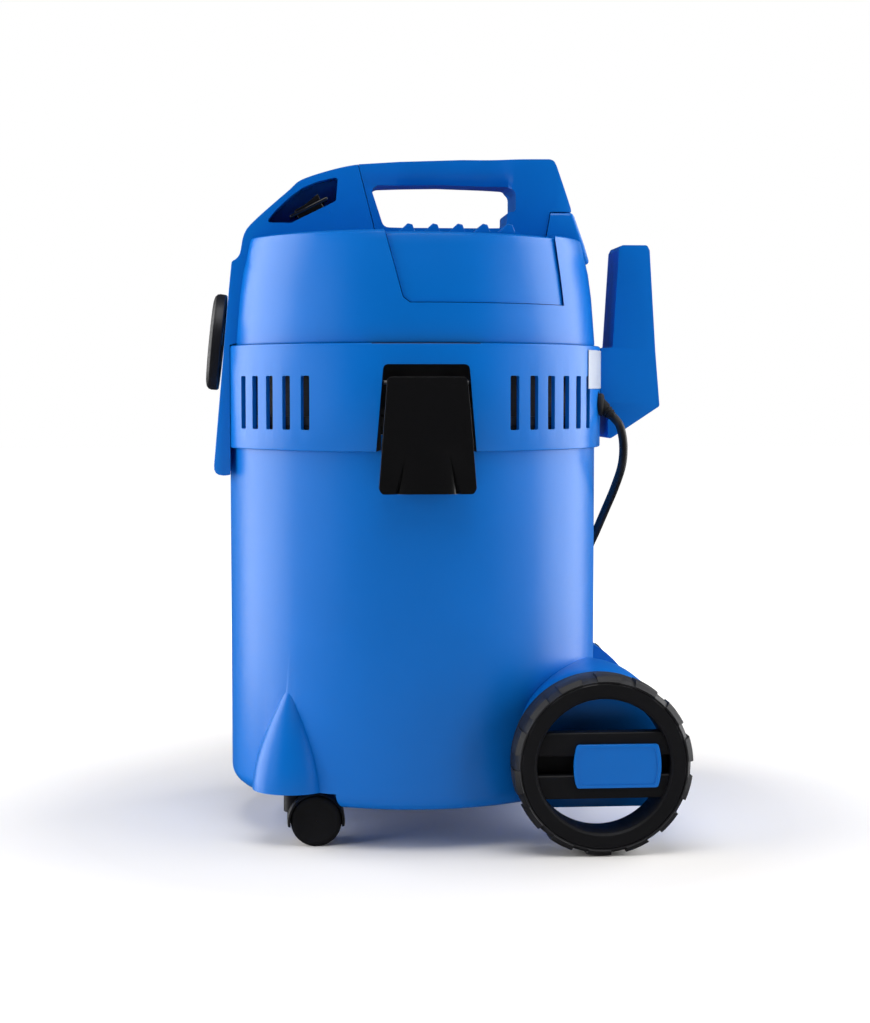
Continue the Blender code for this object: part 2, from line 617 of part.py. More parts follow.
def cord_gland():
    gland = rod("cord_gland", 0.0056, gland_point(-0.008), gland_point(0.008))
    outwards = Vector((cos(GLAND_ANGLE), sin(GLAND_ANGLE), 0))
    middle = Vector((0, 0, GLAND_Z - 0.0015))
    join(gland, rod("gland_flange", 0.0085, middle + outwards * (SKIRT_OUTER_RADIUS + 2 * GAP),
                    middle + outwards * (SKIRT_OUTER_RADIUS + 0.0038), MEDIUM_STEPS))
    join(gland, rod("strain_relief", 0.0054, gland_point(0.006), gland_point(0.029), SMALL_STEPS, 0.0040))
    part(gland, "cord_black")


# ---------------------------------------------------------------- head: what is inside
def motor_plate():
    low, high = PLATE_Z
    plate = rod("motor_plate", SKIRT_INNER_RADIUS - GAP, (0, 0, low), (0, 0, high), ROUND_STEPS)
    cut(plate, rod("plate_eye", 0.026, (0, 0, 0.3), (0, 0, 0.32)))
    cut(plate, rod("plate_inlet", ELBOW_RADIUS + 0.0008, (0, INLET_Y + 0.0058 + ELBOW_BEND, 0.3),
                   (0, INLET_Y + 0.0058 + ELBOW_BEND, 0.32), MEDIUM_STEPS))
    part(plate, "inner_black")
    part(tube_ring("tank_seal", 0.1370, TANK_RADIUS, *SEAL_Z), "rubber_black")


def motor():
    base = PLATE_Z[1] + GAP
    part(tube_ring("motor_gasket", 0.0600, MOTOR_RADIUS, base, base + 0.003, MEDIUM_STEPS), "rubber_black")
    base += 0.003 + GAP
    shell = [(MOTOR_RADIUS, 0.4150), (MOTOR_RADIUS, base), (MOTOR_RADIUS - 0.0025, base),
             (MOTOR_RADIUS - 0.0025, 0.4120), (0.0113, 0.4120), (0.0113, 0.4150)]
    shell = turned("motor_housing", shell, MEDIUM_STEPS, True)
    for number in range(4):
        cut(shell, radial_box(f"exhaust_{number}", radians(45 + 90 * number), 0.06, 0.08, 0.030, 0.37, 0.40))
    part(shell, "inner_black")
    part(tube_ring("fan_cover", 0.0113, MOTOR_RADIUS - 0.0028, 0.3370, 0.3400, MEDIUM_STEPS), "steel")
    part(tube_ring("motor_stator", 0.0440, 0.0560, 0.3560, 0.3900, MEDIUM_STEPS), "steel")
    part(tube_ring("lower_bearing", 0.0043, 0.0110, 0.3350, 0.3420, SMALL_STEPS), "steel")
    part(tube_ring("upper_bearing", 0.0043, 0.0110, 0.4090, 0.4160, SMALL_STEPS), "steel")
    part(rod("rotor_shaft", 0.0040, (0, 0, 0.3190), (0, 0, 0.4200)), "steel")
    part(tube_ring("armature", 0.0043, 0.0420, 0.3580, 0.3880, SMALL_STEPS), "copper")
    fan = tube_ring("impeller", 0.0043, 0.0560, 0.3225, 0.3245, MEDIUM_STEPS)
    join(fan, tube_ring("fan_boss", 0.0043, 0.0080, 0.3215, 0.3320, SMALL_STEPS))
    for number in range(8):
        join(fan, radial_box(f"blade_{number}", radians(45 * number), 0.0070, 0.0550, 0.0015, 0.3235, 0.3310))
    part(fan, "aluminium")
    foam = tube_ring("exhaust_foam", MOTOR_RADIUS + 0.003, 0.0900, base, 0.3550, MEDIUM_STEPS)
    part(foam, "foam_grey")


def filter_and_float():
    top = PLATE_Z[0] - GAP
    cage = tube_ring("float_cage", 0.0290, 0.0320, 0.2150, top, MEDIUM_STEPS)
    join(cage, tube_ring("cage_floor", 0.0060, 0.0320, 0.2150, 0.2190, MEDIUM_STEPS))
    for number in range(6):
        cut(cage, radial_box(f"cage_slot_{number}", radians(60 * number), 0.02, 0.04, 0.014, 0.235, 0.290))
    part(cage, "inner_black")
    half_circle = [(z, -x) for x, z in arc((0, 0), 0.022, 180, 0, 6)]
    ball = turned("float_ball", [(radius, height + 0.2420) for radius, height in half_circle], SMALL_STEPS)
    part(ball, "float_white")
    cartridge = [(0.0740, top), (0.0740, 0.1700), (0.0090, 0.1700), (0.0090, 0.1740), (0.0560, 0.1740),
                 (0.0560, top)]
    part(turned("filter_cartridge", cartridge, MEDIUM_STEPS, True), "filter_paper")
    knob = rod("filter_knob", 0.0320, (0, 0, 0.1630), (0, 0, 0.1697), MEDIUM_STEPS)
    join(knob, rod("knob_stud", 0.0080, (0, 0, 0.1690), (0, 0, 0.1960)))
    join(knob, box("knob_wing", (-0.028, -0.004, 0.1480), (0.028, 0.004, 0.1640)))
    part(knob, "inner_black")


# ---------------------------------------------------------------- latches
def latch(side, sign):
    outline = ((-0.0282, 0.3410), (0.0282, 0.3410), (0.0345, 0.2625), (0.0325, 0.2585), (-0.0325, 0.2585),
               (-0.0345, 0.2625))
    plate = slab(f"latch_{side}", outline, *sorted((sign * 0.1463, sign * 0.1550)))
    face = ((0.1400, 0.36), (0.1505, 0.3420), (0.1550, 0.3000), (0.1552, 0.25), (0.17, 0.25), (0.17, 0.36))
    shave = slab(f"latch_face_{side}", face, -0.05, 0.05)
    shave.data.transform(Matrix.Rotation(-pi / 2 if sign > 0 else pi / 2, 4, "Z"))
    cut(plate, shave)
    hollow = box(f"latch_hollow_{side}", (sign * 0.140, -0.0255, 0.25), (sign * 0.1495, 0.0255, 0.3300))
    cut(plate, hollow)
    for number, y in enumerate((-0.0235, 0.0235)):
        ear = ((sign * 0.1480, 0.3405), (sign * 0.1365, 0.3405), (sign * 0.1360, 0.3335),
               (sign * 0.1390, 0.3325), (sign * 0.1480, 0.3250))
        ear_piece = slab(f"ear_{side}_{number}", ear, -y - 0.002, -y + 0.002)
        ear_piece.data.transform(Matrix.Rotation(-pi / 2, 4, "Z"))
        join(plate, ear_piece)
    lip = box(f"latch_lip_{side}", (sign * (0.1440 + GAP), -0.0175, 0.2640), (sign * 0.1500, 0.0175, 0.2700))
    join(plate, lip)
    cut(plate, rod(f"latch_bore_{side}", 0.0015 + GAP, (sign * LATCH_PIN_X, -0.04, LATCH_PIN_Z),
                   (sign * LATCH_PIN_X, 0.04, LATCH_PIN_Z), SMALL_STEPS))
    part(plate, "latch_black")
    pin = rod(f"latch_pin_{side}", 0.0015, (sign * LATCH_PIN_X, -LATCH_POCKET_HALF + GAP, LATCH_PIN_Z),
              (sign * LATCH_PIN_X, LATCH_POCKET_HALF - GAP, LATCH_PIN_Z), SMALL_STEPS)
    part(pin, "steel")


# ---------------------------------------------------------------- mains cord
CORD_ROUTE = (
    gland_point(0.0309), gland_point(0.0365),
    (0.0460, 0.1655, 0.2900), (0.0420, 0.1640, 0.2740), (0.0300, 0.1575, 0.2560),
    (0.0120, 0.1520, 0.2380), (-0.0090, 0.1470, 0.2200), (-0.0270, 0.1428, 0.2020),
    (-0.0410, 0.1396, 0.1800), (-0.0500, 0.1366, 0.1550), (-0.0545, 0.1350, 0.1280),
    (-0.0555, 0.1352, 0.1020), (-0.0555, 0.1385, 0.0760), (-0.0550, 0.1450, 0.0510),
    (-0.0548, 0.1550, 0.0290), (-0.0565, 0.1690, 0.0125), (-0.0620, 0.1830, 0.0052),
    (-0.0720, 0.1950, 0.0036), (-0.0860, 0.2045, 0.0036), (-0.1040, 0.2105, 0.0036),
    (-0.1250, 0.2120, 0.0036), (-0.1460, 0.2080, 0.0036), (-0.1650, 0.1985, 0.0036),
    (-0.1800, 0.1840, 0.0036), (-0.1900, 0.1650, 0.0036), (-0.1955, 0.1420, 0.0036),
    (-0.1978, 0.1170, 0.0036), (-0.1980, 0.0900, 0.0036), (-0.1972, 0.0620, 0.0036),
    (-0.1960, 0.0340, 0.0036), (-0.1949, 0.0060, 0.0036),
)


def smooth_route(points, spacing):
    """Points at even distances along a smooth curve through the route's own points."""
    points = [Vector(p) for p in points]
    points = [2 * points[0] - points[1]] + points + [2 * points[-1] - points[-2]]
    fine = []
    for a, b, c, d in zip(points, points[1:], points[2:], points[3:]):
        for step in range(12):
            t = step / 12
            fine.append(0.5 * (2 * b + (c - a) * t + (2 * a - 5 * b + 4 * c - d) * t ** 2
                               + (3 * b - a - 3 * c + d) * t ** 3))
    fine.append(points[-2])
    length = sum((b - a).length for a, b in zip(fine, fine[1:]))
    count = round(length / spacing)
    even, walked, target = [fine[0]], 0.0, length / count
    for a, b in zip(fine, fine[1:]):
        step = (b - a).length
        while walked + step >= target * len(even) - 1e-9 and len(even) < count:
            even.append(a.lerp(b, (target * len(even) - walked) / step))
        walked += step
    return even + [fine[-1]]


def mains_cord():
    route = smooth_route(CORD_ROUTE, CORD_SPACING)
    part(tube("cord_tube", route, CORD_RADIUS, 2), "cord_black")
    inner, outer = COIL_RING
    coil = tube_ring("cord_coil", inner, outer, 0.0004, COIL_TOP_Z, ROUND_STEPS, (*COIL_CENTRE, 0))
    part(coil, "cord_black")
    x, y = COIL_CENTRE[0] - 0.004, COIL_CENTRE[1] - 0.046
    z = COIL_TOP_Z + 0.0098
    plug = rod("mains_plug", 0.0042, (x, y, z), (x - 0.022, y, z), SMALL_STEPS, 0.0075)
    shape = ((x - 0.018, y - 0.008), (x - 0.028, y - 0.0175), (x - 0.050, y - 0.0175), (x - 0.054, y - 0.014),
             (x - 0.054, y + 0.014), (x - 0.050, y + 0.0175), (x - 0.028, y + 0.0175), (x - 0.018, y + 0.008))
    join(plug, slab("plug_body", shape, z - 0.0093, z + 0.0093, "XY"))
    for number, offset in enumerate((-0.0095, 0.0095)):
        join(plug, rod(f"plug_pin_{number}", 0.0024, (x - 0.052, y + offset, z), (x - 0.073, y + offset, z)))
    part(plug, "cord_black")


# ---------------------------------------------------------------- assembly
FINISHES = {
    "body_blue": ((0.005, 0.095, 0.52), 0.38, 0.0),
    "wheel_black": ((0.018, 0.018, 0.021), 0.55, 0.0),
    "tyre_black": ((0.022, 0.022, 0.024), 0.75, 0.0),
    "latch_black": ((0.006, 0.006, 0.007), 0.12, 0.0),
    "inlet_black": ((0.020, 0.020, 0.022), 0.50, 0.0),
    "inner_black": ((0.025, 0.025, 0.027), 0.60, 0.0),
    "switch_black": ((0.008, 0.008, 0.009), 0.20, 0.0),
    "rubber_black": ((0.015, 0.015, 0.015), 0.85, 0.0),
    "cord_black": ((0.012, 0.012, 0.013), 0.60, 0.0),
    "label_white": ((0.80, 0.80, 0.80), 0.45, 0.0),
    "steel": ((0.55, 0.55, 0.56), 0.30, 1.0),
    "aluminium": ((0.70, 0.70, 0.71), 0.35, 1.0),
    "copper": ((0.60, 0.27, 0.12), 0.35, 1.0),
    "foam_grey": ((0.10, 0.10, 0.11), 0.95, 0.0),
    "filter_paper": ((0.72, 0.70, 0.62), 0.90, 0.0),
    "float_white": ((0.75, 0.75, 0.72), 0.50, 0.0),
}

clear_scene()
PARTS = new_collection("shop_vacuum")
TOOLS = new_collection("cutters")
tank_body()
for side_name, side_sign in SIDES.items():
    stub_axle(side_name, side_sign)
    rear_wheel(side_name, side_sign)
    caster(side_name, side_sign)
    deck_louvre(side_name, side_sign)
    latch(side_name, side_sign)
head_skirt()
head_cover()
handle_cover()
switch()
hose_inlet()
accessory_post()
rating_plate()
cord_gland()
motor_plate()
motor()
filter_and_float()
mains_cord()
for thing in bpy.data.objects:
    thing.location.y += MACHINE_SHIFT_Y
bpy.context.view_layer.update()
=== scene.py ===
# %% [markdown]
# # A wet and dry shop vacuum
# A round plastic tank stands on two large wheels and two casters, and a motor head clips on top of it.
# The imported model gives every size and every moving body, and this file makes the surfaces that show.
# Each step says what the piece is on the real machine and why it is made the way it is.

# %% Load the frame
from math import atan2, cos, hypot, pi, radians, sin, sqrt
import json
import bpy
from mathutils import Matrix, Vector

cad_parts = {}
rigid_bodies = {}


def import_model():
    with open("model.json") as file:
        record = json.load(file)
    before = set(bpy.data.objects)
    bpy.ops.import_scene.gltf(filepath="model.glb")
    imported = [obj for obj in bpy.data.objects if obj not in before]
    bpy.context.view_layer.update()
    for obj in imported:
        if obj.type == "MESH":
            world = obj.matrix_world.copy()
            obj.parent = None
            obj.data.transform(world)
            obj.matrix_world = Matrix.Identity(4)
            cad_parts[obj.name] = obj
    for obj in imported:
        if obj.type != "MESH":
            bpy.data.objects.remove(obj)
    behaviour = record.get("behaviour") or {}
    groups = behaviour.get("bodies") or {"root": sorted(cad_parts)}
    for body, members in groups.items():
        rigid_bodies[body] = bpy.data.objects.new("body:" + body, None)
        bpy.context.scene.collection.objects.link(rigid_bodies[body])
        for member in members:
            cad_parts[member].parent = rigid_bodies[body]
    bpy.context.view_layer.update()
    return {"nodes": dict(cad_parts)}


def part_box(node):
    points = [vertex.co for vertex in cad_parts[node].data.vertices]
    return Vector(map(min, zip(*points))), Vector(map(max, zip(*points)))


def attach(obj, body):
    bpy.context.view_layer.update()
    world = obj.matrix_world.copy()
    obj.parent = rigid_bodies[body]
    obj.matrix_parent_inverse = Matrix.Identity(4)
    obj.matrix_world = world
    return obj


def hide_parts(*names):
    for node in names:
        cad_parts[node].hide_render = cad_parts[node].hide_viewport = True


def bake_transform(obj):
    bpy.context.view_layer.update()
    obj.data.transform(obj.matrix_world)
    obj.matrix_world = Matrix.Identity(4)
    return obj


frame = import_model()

seal_low, seal_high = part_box("tank_seal")
AXIS_Y = (seal_low[1] + seal_high[1]) / 2      # the tank's axis stands at X 0, Y AXIS_Y
SIDES = {"left": 1, "right": -1}

# %% [markdown]
# ## The camera
# The machine is seen from its left side, from about the height of its slots, with a portrait lens.
# The camera aims at a point near the tank's axis, so its place follows from two angles and a distance.

# %% Camera
CAMERA_AZIMUTH = radians(85.3)
CAMERA_TILT = radians(3.72)
CAMERA_DISTANCE = 1.508
FOCAL_IN_IMAGE_HEIGHTS = 1.882
AIM_SIDEWAYS, AIM_HEIGHT = 0.0176, 0.2365

sight = Vector((cos(CAMERA_TILT) * sin(CAMERA_AZIMUTH), -cos(CAMERA_TILT) * cos(CAMERA_AZIMUTH),
                sin(CAMERA_TILT)))
sideways = Vector((cos(CAMERA_AZIMUTH), sin(CAMERA_AZIMUTH), 0))
aim = Vector((0, AXIS_Y, AIM_HEIGHT)) + sideways * AIM_SIDEWAYS
bpy.ops.object.camera_add(location=aim + sight * CAMERA_DISTANCE)
camera = bpy.context.object
camera.rotation_euler = sight.to_track_quat("Z", "Y").to_euler()
camera.data.sensor_width = 36.0
camera.data.lens = 36.0 * FOCAL_IN_IMAGE_HEIGHTS
bpy.context.scene.camera = camera

# %% [markdown]
# ## Modelling helpers
# Blender's operators act on whatever is selected, so every piece starts from an empty selection.
# Turned pieces are made by extruding a circle row by row and scaling each new row. That keeps the
# rows even, which matters for smooth highlights on satin plastic.

# %% Helpers for selecting and finishing
def deselect():
    if bpy.context.object and bpy.context.object.mode != "OBJECT":
        bpy.ops.object.mode_set(mode="OBJECT")
    bpy.ops.object.select_all(action="DESELECT")


def pick(obj):
    deselect()
    obj.select_set(True)
    bpy.context.view_layer.objects.active = obj
    return obj


def settle(obj):
    """Puts an object's place and turn into its mesh."""
    pick(obj)
    bpy.ops.object.transform_apply(location=True, rotation=True, scale=True)
    return obj


def named(obj, name):
    obj.name = name
    obj.data.name = name
    return obj


def apply_modifiers(obj):
    pick(obj)
    for modifier in list(obj.modifiers):
        bpy.ops.object.modifier_apply(modifier=modifier.name)
    return obj


def rounded(obj, width, segments=3, angle=35):
    """Rounds the sharp edges, as the corners of a mould are."""
    settle(obj)
    bevel = obj.modifiers.new("round", "BEVEL")
    bevel.width = width
    bevel.segments = segments
    bevel.limit_method = "ANGLE"
    bevel.angle_limit = radians(angle)
    bevel.use_clamp_overlap = True
    return apply_modifiers(obj)


def boolean(obj, operation, *others):
    for other in others:
        settle(other)
        modifier = obj.modifiers.new("boolean", "BOOLEAN")
        modifier.operation = operation
        modifier.solver = "EXACT"
        modifier.object = other
    apply_modifiers(obj)
    for other in others:
        bpy.data.objects.remove(other, do_unlink=True)
    return obj


def cut(obj, *others):
    return boolean(obj, "DIFFERENCE", *others)


def union(obj, *others):
    return boolean(obj, "UNION", *others)


def smooth(obj, angle=32):
    pick(obj)
    bpy.ops.object.shade_smooth_by_angle(angle=radians(angle))
    return obj


def finish(obj, body, material, replaced=(), angle=32):
    """Shades a piece, moves it from the tank's axis to its place, and hangs it on its body."""
    smooth(obj, angle)
    obj.location.y += AXIS_Y
    settle(obj)
    obj.data.materials.clear()
    obj.data.materials.append(material)
    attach(obj, body)
    if replaced:
        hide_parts(*replaced)
    print(obj.name, "on", body, "with", len(obj.data.polygons), "faces")
    return obj


# %% Helpers for simple solids
def block(name, corner, opposite, round_by=0.0, segments=3):
    """A box between two corners, with rounded edges if asked."""
    deselect()
    middle = [(a + b) / 2 for a, b in zip(corner, opposite)]
    bpy.ops.mesh.primitive_cube_add(size=1.0, location=middle)
    made = named(bpy.context.object, name)
    made.scale = [abs(a - b) for a, b in zip(corner, opposite)]
    settle(made)
    return rounded(made, round_by, segments) if round_by else made


def bar(name, radius, start, end, steps=48):
    """A round bar between two points."""
    deselect()
    start, end = Vector(start), Vector(end)
    along = end - start
    bpy.ops.mesh.primitive_cone_add(vertices=steps, radius1=radius, radius2=radius,
                                    depth=along.length, location=(start + end) / 2)
    made = named(bpy.context.object, name)
    made.rotation_euler = along.to_track_quat("Z", "Y").to_euler()
    return settle(made)


def turned(name, profile, steps=128, ring=True, centre=(0, 0, 0), axis=(0, 0, 1)):
    """Rows of (radius, height), turned about an axis. A ring closes on itself, and others get caps."""
    deselect()
    radius, height = profile[0]
    bpy.ops.mesh.primitive_circle_add(vertices=steps, radius=radius, location=(0, 0, height))
    made = named(bpy.context.object, name)
    settle(made)
    bpy.ops.object.mode_set(mode="EDIT")
    bpy.ops.mesh.select_mode(type="EDGE")
    bpy.ops.mesh.select_all(action="SELECT")
    if not ring:
        bpy.ops.mesh.edge_face_add()
        bpy.ops.mesh.select_all(action="SELECT")
    rows = list(profile[1:]) + ([profile[0]] if ring else [])
    for new_radius, new_height in rows:
        move = {"value": (0, 0, new_height - height)}
        if ring:
            bpy.ops.mesh.extrude_edges_move(TRANSFORM_OT_translate=move)
        else:
            bpy.ops.mesh.extrude_region_move(TRANSFORM_OT_translate=move)
        grow = new_radius / radius
        bpy.ops.transform.resize(value=(grow, grow, 1), center_override=(0, 0, new_height))
        radius, height = new_radius, new_height
    bpy.ops.mesh.select_all(action="SELECT")
    bpy.ops.mesh.remove_doubles(threshold=0.000005)
    bpy.ops.mesh.normals_make_consistent(inside=False)
    bpy.ops.object.mode_set(mode="OBJECT")
    made.location = centre
    made.rotation_euler = Vector(axis).to_track_quat("Z", "Y").to_euler()
    return settle(made)


# %% Helpers for outlines
def across(sign, near, far):
    """Two distances from the middle of the machine, as a low and a high X on one of its sides."""
    return sorted((sign * near, sign * far))


def moved(rows, radius, height=0.0):
    """Rows of a profile that are drawn as offsets from one radius and height."""
    return [(radius + out, height + up) for out, up in rows]


def arc(centre, radius, start, end, steps):
    """Points along an arc between two angles in degrees."""
    angles = [radians(start + (end - start) * i / steps) for i in range(steps + 1)]
    return [(centre[0] + radius * cos(a), centre[1] + radius * sin(a)) for a in angles]


def soft_corners(points, radius, steps=4):
    """An outline with its corners rounded, each by no more than its two sides allow."""
    made = []
    count = len(points)
    for i in range(count):
        here = Vector(points[i])
        before = Vector(points[i - 1]) - here
        after = Vector(points[(i + 1) % count]) - here
        corner = before.angle(after)
        reach = min(radius / max(sin(corner / 2) / max(cos(corner / 2), 1e-6), 1e-6),
                    before.length * 0.45, after.length * 0.45)
        a = here + before.normalized() * reach
        b = here + after.normalized() * reach
        for step in range(steps + 1):
            t = step / steps
            made.append(tuple((1 - t) ** 2 * a + 2 * t * (1 - t) * here + t ** 2 * b))
    return made


def outlined(name, loops, low, high, edge=0.0, edge_steps=3, plane="YZ"):
    """A flat outline given a thickness, with its rims rounded. The first loop is the outside."""
    curve = bpy.data.curves.new(name, "CURVE")
    curve.dimensions = "2D"
    curve.fill_mode = "BOTH"
    curve.extrude = (high - low) / 2 - edge
    curve.bevel_depth = edge
    curve.bevel_resolution = edge_steps
    curve.offset = -edge
    for loop in loops:
        spline = curve.splines.new("POLY")
        spline.points.add(len(loop) - 1)
        for point, (u, v) in zip(spline.points, loop):
            point.co = (u, v, 0, 1)
        spline.use_cyclic_u = True
    made = bpy.data.objects.new(name, curve)
    bpy.context.collection.objects.link(made)
    middle = (low + high) / 2
    if plane == "YZ":
        made.rotation_euler = (pi / 2, 0, pi / 2)
        made.location = (middle, 0, 0)
    else:
        made.location = (0, 0, middle)
    pick(made)
    bpy.ops.object.convert(target="MESH")
    made = named(bpy.context.object, name)
    settle(made)
    bpy.ops.object.mode_set(mode="EDIT")
    bpy.ops.mesh.select_all(action="SELECT")
    bpy.ops.mesh.remove_doubles(threshold=0.00002)
    bpy.ops.mesh.normals_make_consistent(inside=False)
    bpy.ops.object.mode_set(mode="OBJECT")
    return made


def select_where(obj, test):
    """Selects the vertices whose place passes a test, in edit mode."""
    deselect()
    bpy.context.view_layer.objects.active = obj
    obj.select_set(True)
    bpy.ops.object.mode_set(mode="EDIT")
    bpy.ops.mesh.select_mode(type="VERT")
    bpy.ops.mesh.select_all(action="DESELECT")
    bpy.ops.object.mode_set(mode="OBJECT")
    for vertex in obj.data.vertices:
        vertex.select = bool(test(vertex.co))
    bpy.ops.object.mode_set(mode="EDIT")


def slice_at(obj, places, axis=1):
    """Adds a loop of edges where planes across an axis pass through a piece."""
    pick(obj)
    bpy.ops.object.mode_set(mode="EDIT")
    for place in places:
        bpy.ops.mesh.select_all(action="SELECT")
        point, normal = [0, 0, 0], [0, 0, 0]
        point[axis], normal[axis] = place, 1
        bpy.ops.mesh.bisect(plane_co=point, plane_no=normal)
    bpy.ops.object.mode_set(mode="OBJECT")
    return obj


# %% [markdown]
# ## Finishes
# The machine is nearly all moulded plastic, and what tells one moulding from another is its surface:
# the blue covers have a fine spark-eroded grain under a satin sheen, the wheels are matt, and the
# latches are polished. Each finish is built from noise at the right scale, in metres, so it reads the
# same on a small clip and on the big tank. Colour and roughness drift a little from place to place,
# and long thin noise gives the fine handling marks of a machine that gets dragged about.

# %% Finishes
def shader_tree(name):
    made = bpy.data.materials.new(name)
    made.use_nodes = True
    return made, made.node_tree, made.node_tree.nodes["Principled BSDF"]


def noise(tree, scale, detail=2.0, stretch=(1, 1, 1)):
    """Noise on the piece's own coordinates, which may be stretched along an axis."""
    place = tree.nodes.new("ShaderNodeTexCoord")
    mapping = tree.nodes.new("ShaderNodeMapping")
    mapping.inputs["Scale"].default_value = stretch
    made = tree.nodes.new("ShaderNodeTexNoise")
    made.inputs["Scale"].default_value = scale
    made.inputs["Detail"].default_value = detail
    tree.links.new(place.outputs["Object"], mapping.inputs["Vector"])
    tree.links.new(mapping.outputs["Vector"], made.inputs["Vector"])
    return made.outputs["Fac"]


def spread(tree, value, low, high, from_low=0.3, from_high=0.7):
    """Maps a noise value onto a range."""
    made = tree.nodes.new("ShaderNodeMapRange")
    made.inputs["From Min"].default_value = from_low
    made.inputs["From Max"].default_value = from_high
    made.inputs["To Min"].default_value = low
    made.inputs["To Max"].default_value = high
    tree.links.new(value, made.inputs["Value"])
    return made.outputs["Result"]


def mixed_colour(tree, value, first, second):
    made = tree.nodes.new("ShaderNodeMix")
    made.data_type = "RGBA"
    made.inputs[6].default_value = (*first, 1)
    made.inputs[7].default_value = (*second, 1)
    tree.links.new(value, made.inputs[0])
    return made.outputs[2]


def bumped(tree, shader, layers):
    """Stacks bumps, each given as (height value, distance in metres)."""
    normal = None
    for height, distance in layers:
        bump = tree.nodes.new("ShaderNodeBump")
        bump.inputs["Distance"].default_value = distance
        bump.inputs["Strength"].default_value = 1.0
        tree.links.new(height, bump.inputs["Height"])
        if normal:
            tree.links.new(normal, bump.inputs["Normal"])
        normal = bump.outputs["Normal"]
    tree.links.new(normal, shader.inputs["Normal"])


def moulded(name, colour, roughness, grain=0.00004, drift=0.06, wear=0.05, coat=0.0):
    """Moulded plastic: colour that drifts a little, a fine grain, and faint marks from handling."""
    made, tree, shader = shader_tree(name)
    shader.inputs["Specular IOR Level"].default_value = 0.4
    deep = tuple(c * (1 - drift) for c in colour)
    pale = tuple(min(c * (1 + drift), 1) for c in colour)
    cloud = spread(tree, noise(tree, 14, 3), 0, 1)
    tree.links.new(mixed_colour(tree, cloud, deep, pale), shader.inputs["Base Color"])
    marks = spread(tree, noise(tree, 60, 5, (1, 1, 9)), roughness - wear, roughness + wear)
    tree.links.new(marks, shader.inputs["Roughness"])
    shader.inputs["Coat Weight"].default_value = coat
    shader.inputs["Coat Roughness"].default_value = 0.25
    bumped(tree, shader, [(noise(tree, 55, 2), 0.00012), (noise(tree, 2600, 2), grain)])
    return made


def metal(name, colour, roughness, stretch=(1, 1, 14)):
    """Drawn or pressed metal, with brush lines along one axis."""
    made, tree, shader = shader_tree(name)
    shader.inputs["Metallic"].default_value = 1.0
    lines = noise(tree, 320, 4, stretch)
    tree.links.new(mixed_colour(tree, lines, tuple(c * 0.85 for c in colour), colour),
                   shader.inputs["Base Color"])
    tree.links.new(spread(tree, lines, roughness - 0.08, roughness + 0.1), shader.inputs["Roughness"])
    bumped(tree, shader, [(lines, 0.00001)])
    return made


def rubber(name, colour, roughness):
    """Rubber: matt, with dust in its fine pores."""
    made, tree, shader = shader_tree(name)
    dust = spread(tree, noise(tree, 45, 6), 0, 1, 0.45, 0.75)
    tree.links.new(mixed_colour(tree, dust, colour, tuple(c * 1.7 + 0.004 for c in colour)),
                   shader.inputs["Base Color"])
    tree.links.new(spread(tree, noise(tree, 90, 4), roughness - 0.08, roughness + 0.08),
                   shader.inputs["Roughness"])
    bumped(tree, shader, [(noise(tree, 900, 3), 0.00005)])
    return made


def porous(name, colour, cell=700, depth=0.0006):
    """Open foam or filter felt: pits between fibres, bumped and darker in colour as painted shade."""
    made, tree, shader = shader_tree(name)
    place = tree.nodes.new("ShaderNodeTexCoord")
    cells = tree.nodes.new("ShaderNodeTexVoronoi")
    cells.inputs["Scale"].default_value = cell
    tree.links.new(place.outputs["Object"], cells.inputs["Vector"])
    # The colour darkens towards the middle of each cell, where the bump sinks a pit: painted shade in the
    # pores.
    tree.links.new(mixed_colour(tree, cells.outputs["Distance"], tuple(c * 0.55 for c in colour), colour),
                   shader.inputs["Base Color"])
    shader.inputs["Roughness"].default_value = 0.95
    shader.inputs["Sheen Weight"].default_value = 0.15
    bumped(tree, shader, [(cells.outputs["Distance"], depth), (noise(tree, 1500, 3), 0.0001)])
    return made


BLUE = (0.0, 0.148, 0.575)
blue_cover = moulded("blue cover plastic", BLUE, 0.30, 0.000035, 0.03, 0.012)
blue_tank = moulded("blue tank plastic", BLUE, 0.32, 0.00004, 0.03, 0.014)
wheel_plastic = moulded("charcoal wheel plastic", (0.009, 0.009, 0.011), 0.46, 0.00005, 0.10, 0.06)
inlet_plastic = moulded("black inlet plastic", (0.012, 0.012, 0.014), 0.42, 0.00004, 0.08, 0.05)
inner_plastic = moulded("black inner plastic", (0.02, 0.02, 0.022), 0.60, 0.00006, 0.10, 0.08)
gloss_plastic = moulded("polished black latch", (0.0035, 0.0035, 0.004), 0.10, 0.000002, 0.05, 0.03, 0.5)
switch_plastic = moulded("glossy switch plastic", (0.006, 0.006, 0.007), 0.16, 0.000004, 0.05, 0.04, 0.3)
float_plastic = moulded("pale float plastic", (0.72, 0.72, 0.68), 0.45, 0.00003, 0.03, 0.05)
label_film = moulded("blank label film", (0.44, 0.48, 0.56), 0.38, 0.00001, 0.02, 0.05)
tyre_rubber = rubber("tyre rubber", (0.009, 0.009, 0.011), 0.55)
seal_rubber = rubber("soft seal rubber", (0.012, 0.012, 0.012), 0.85)
cord_sheath = rubber("cord sheath", (0.009, 0.009, 0.010), 0.48)
steel = metal("drawn steel", (0.60, 0.60, 0.62), 0.30)
aluminium = metal("pressed aluminium", (0.74, 0.74, 0.76), 0.38)
copper = metal("enamelled copper", (0.62, 0.27, 0.10), 0.34, (1, 1, 30))
foam = porous("exhaust foam", (0.10, 0.10, 0.11), 420, 0.0010)
filter_felt = porous("filter felt", (0.74, 0.71, 0.62), 900, 0.0003)

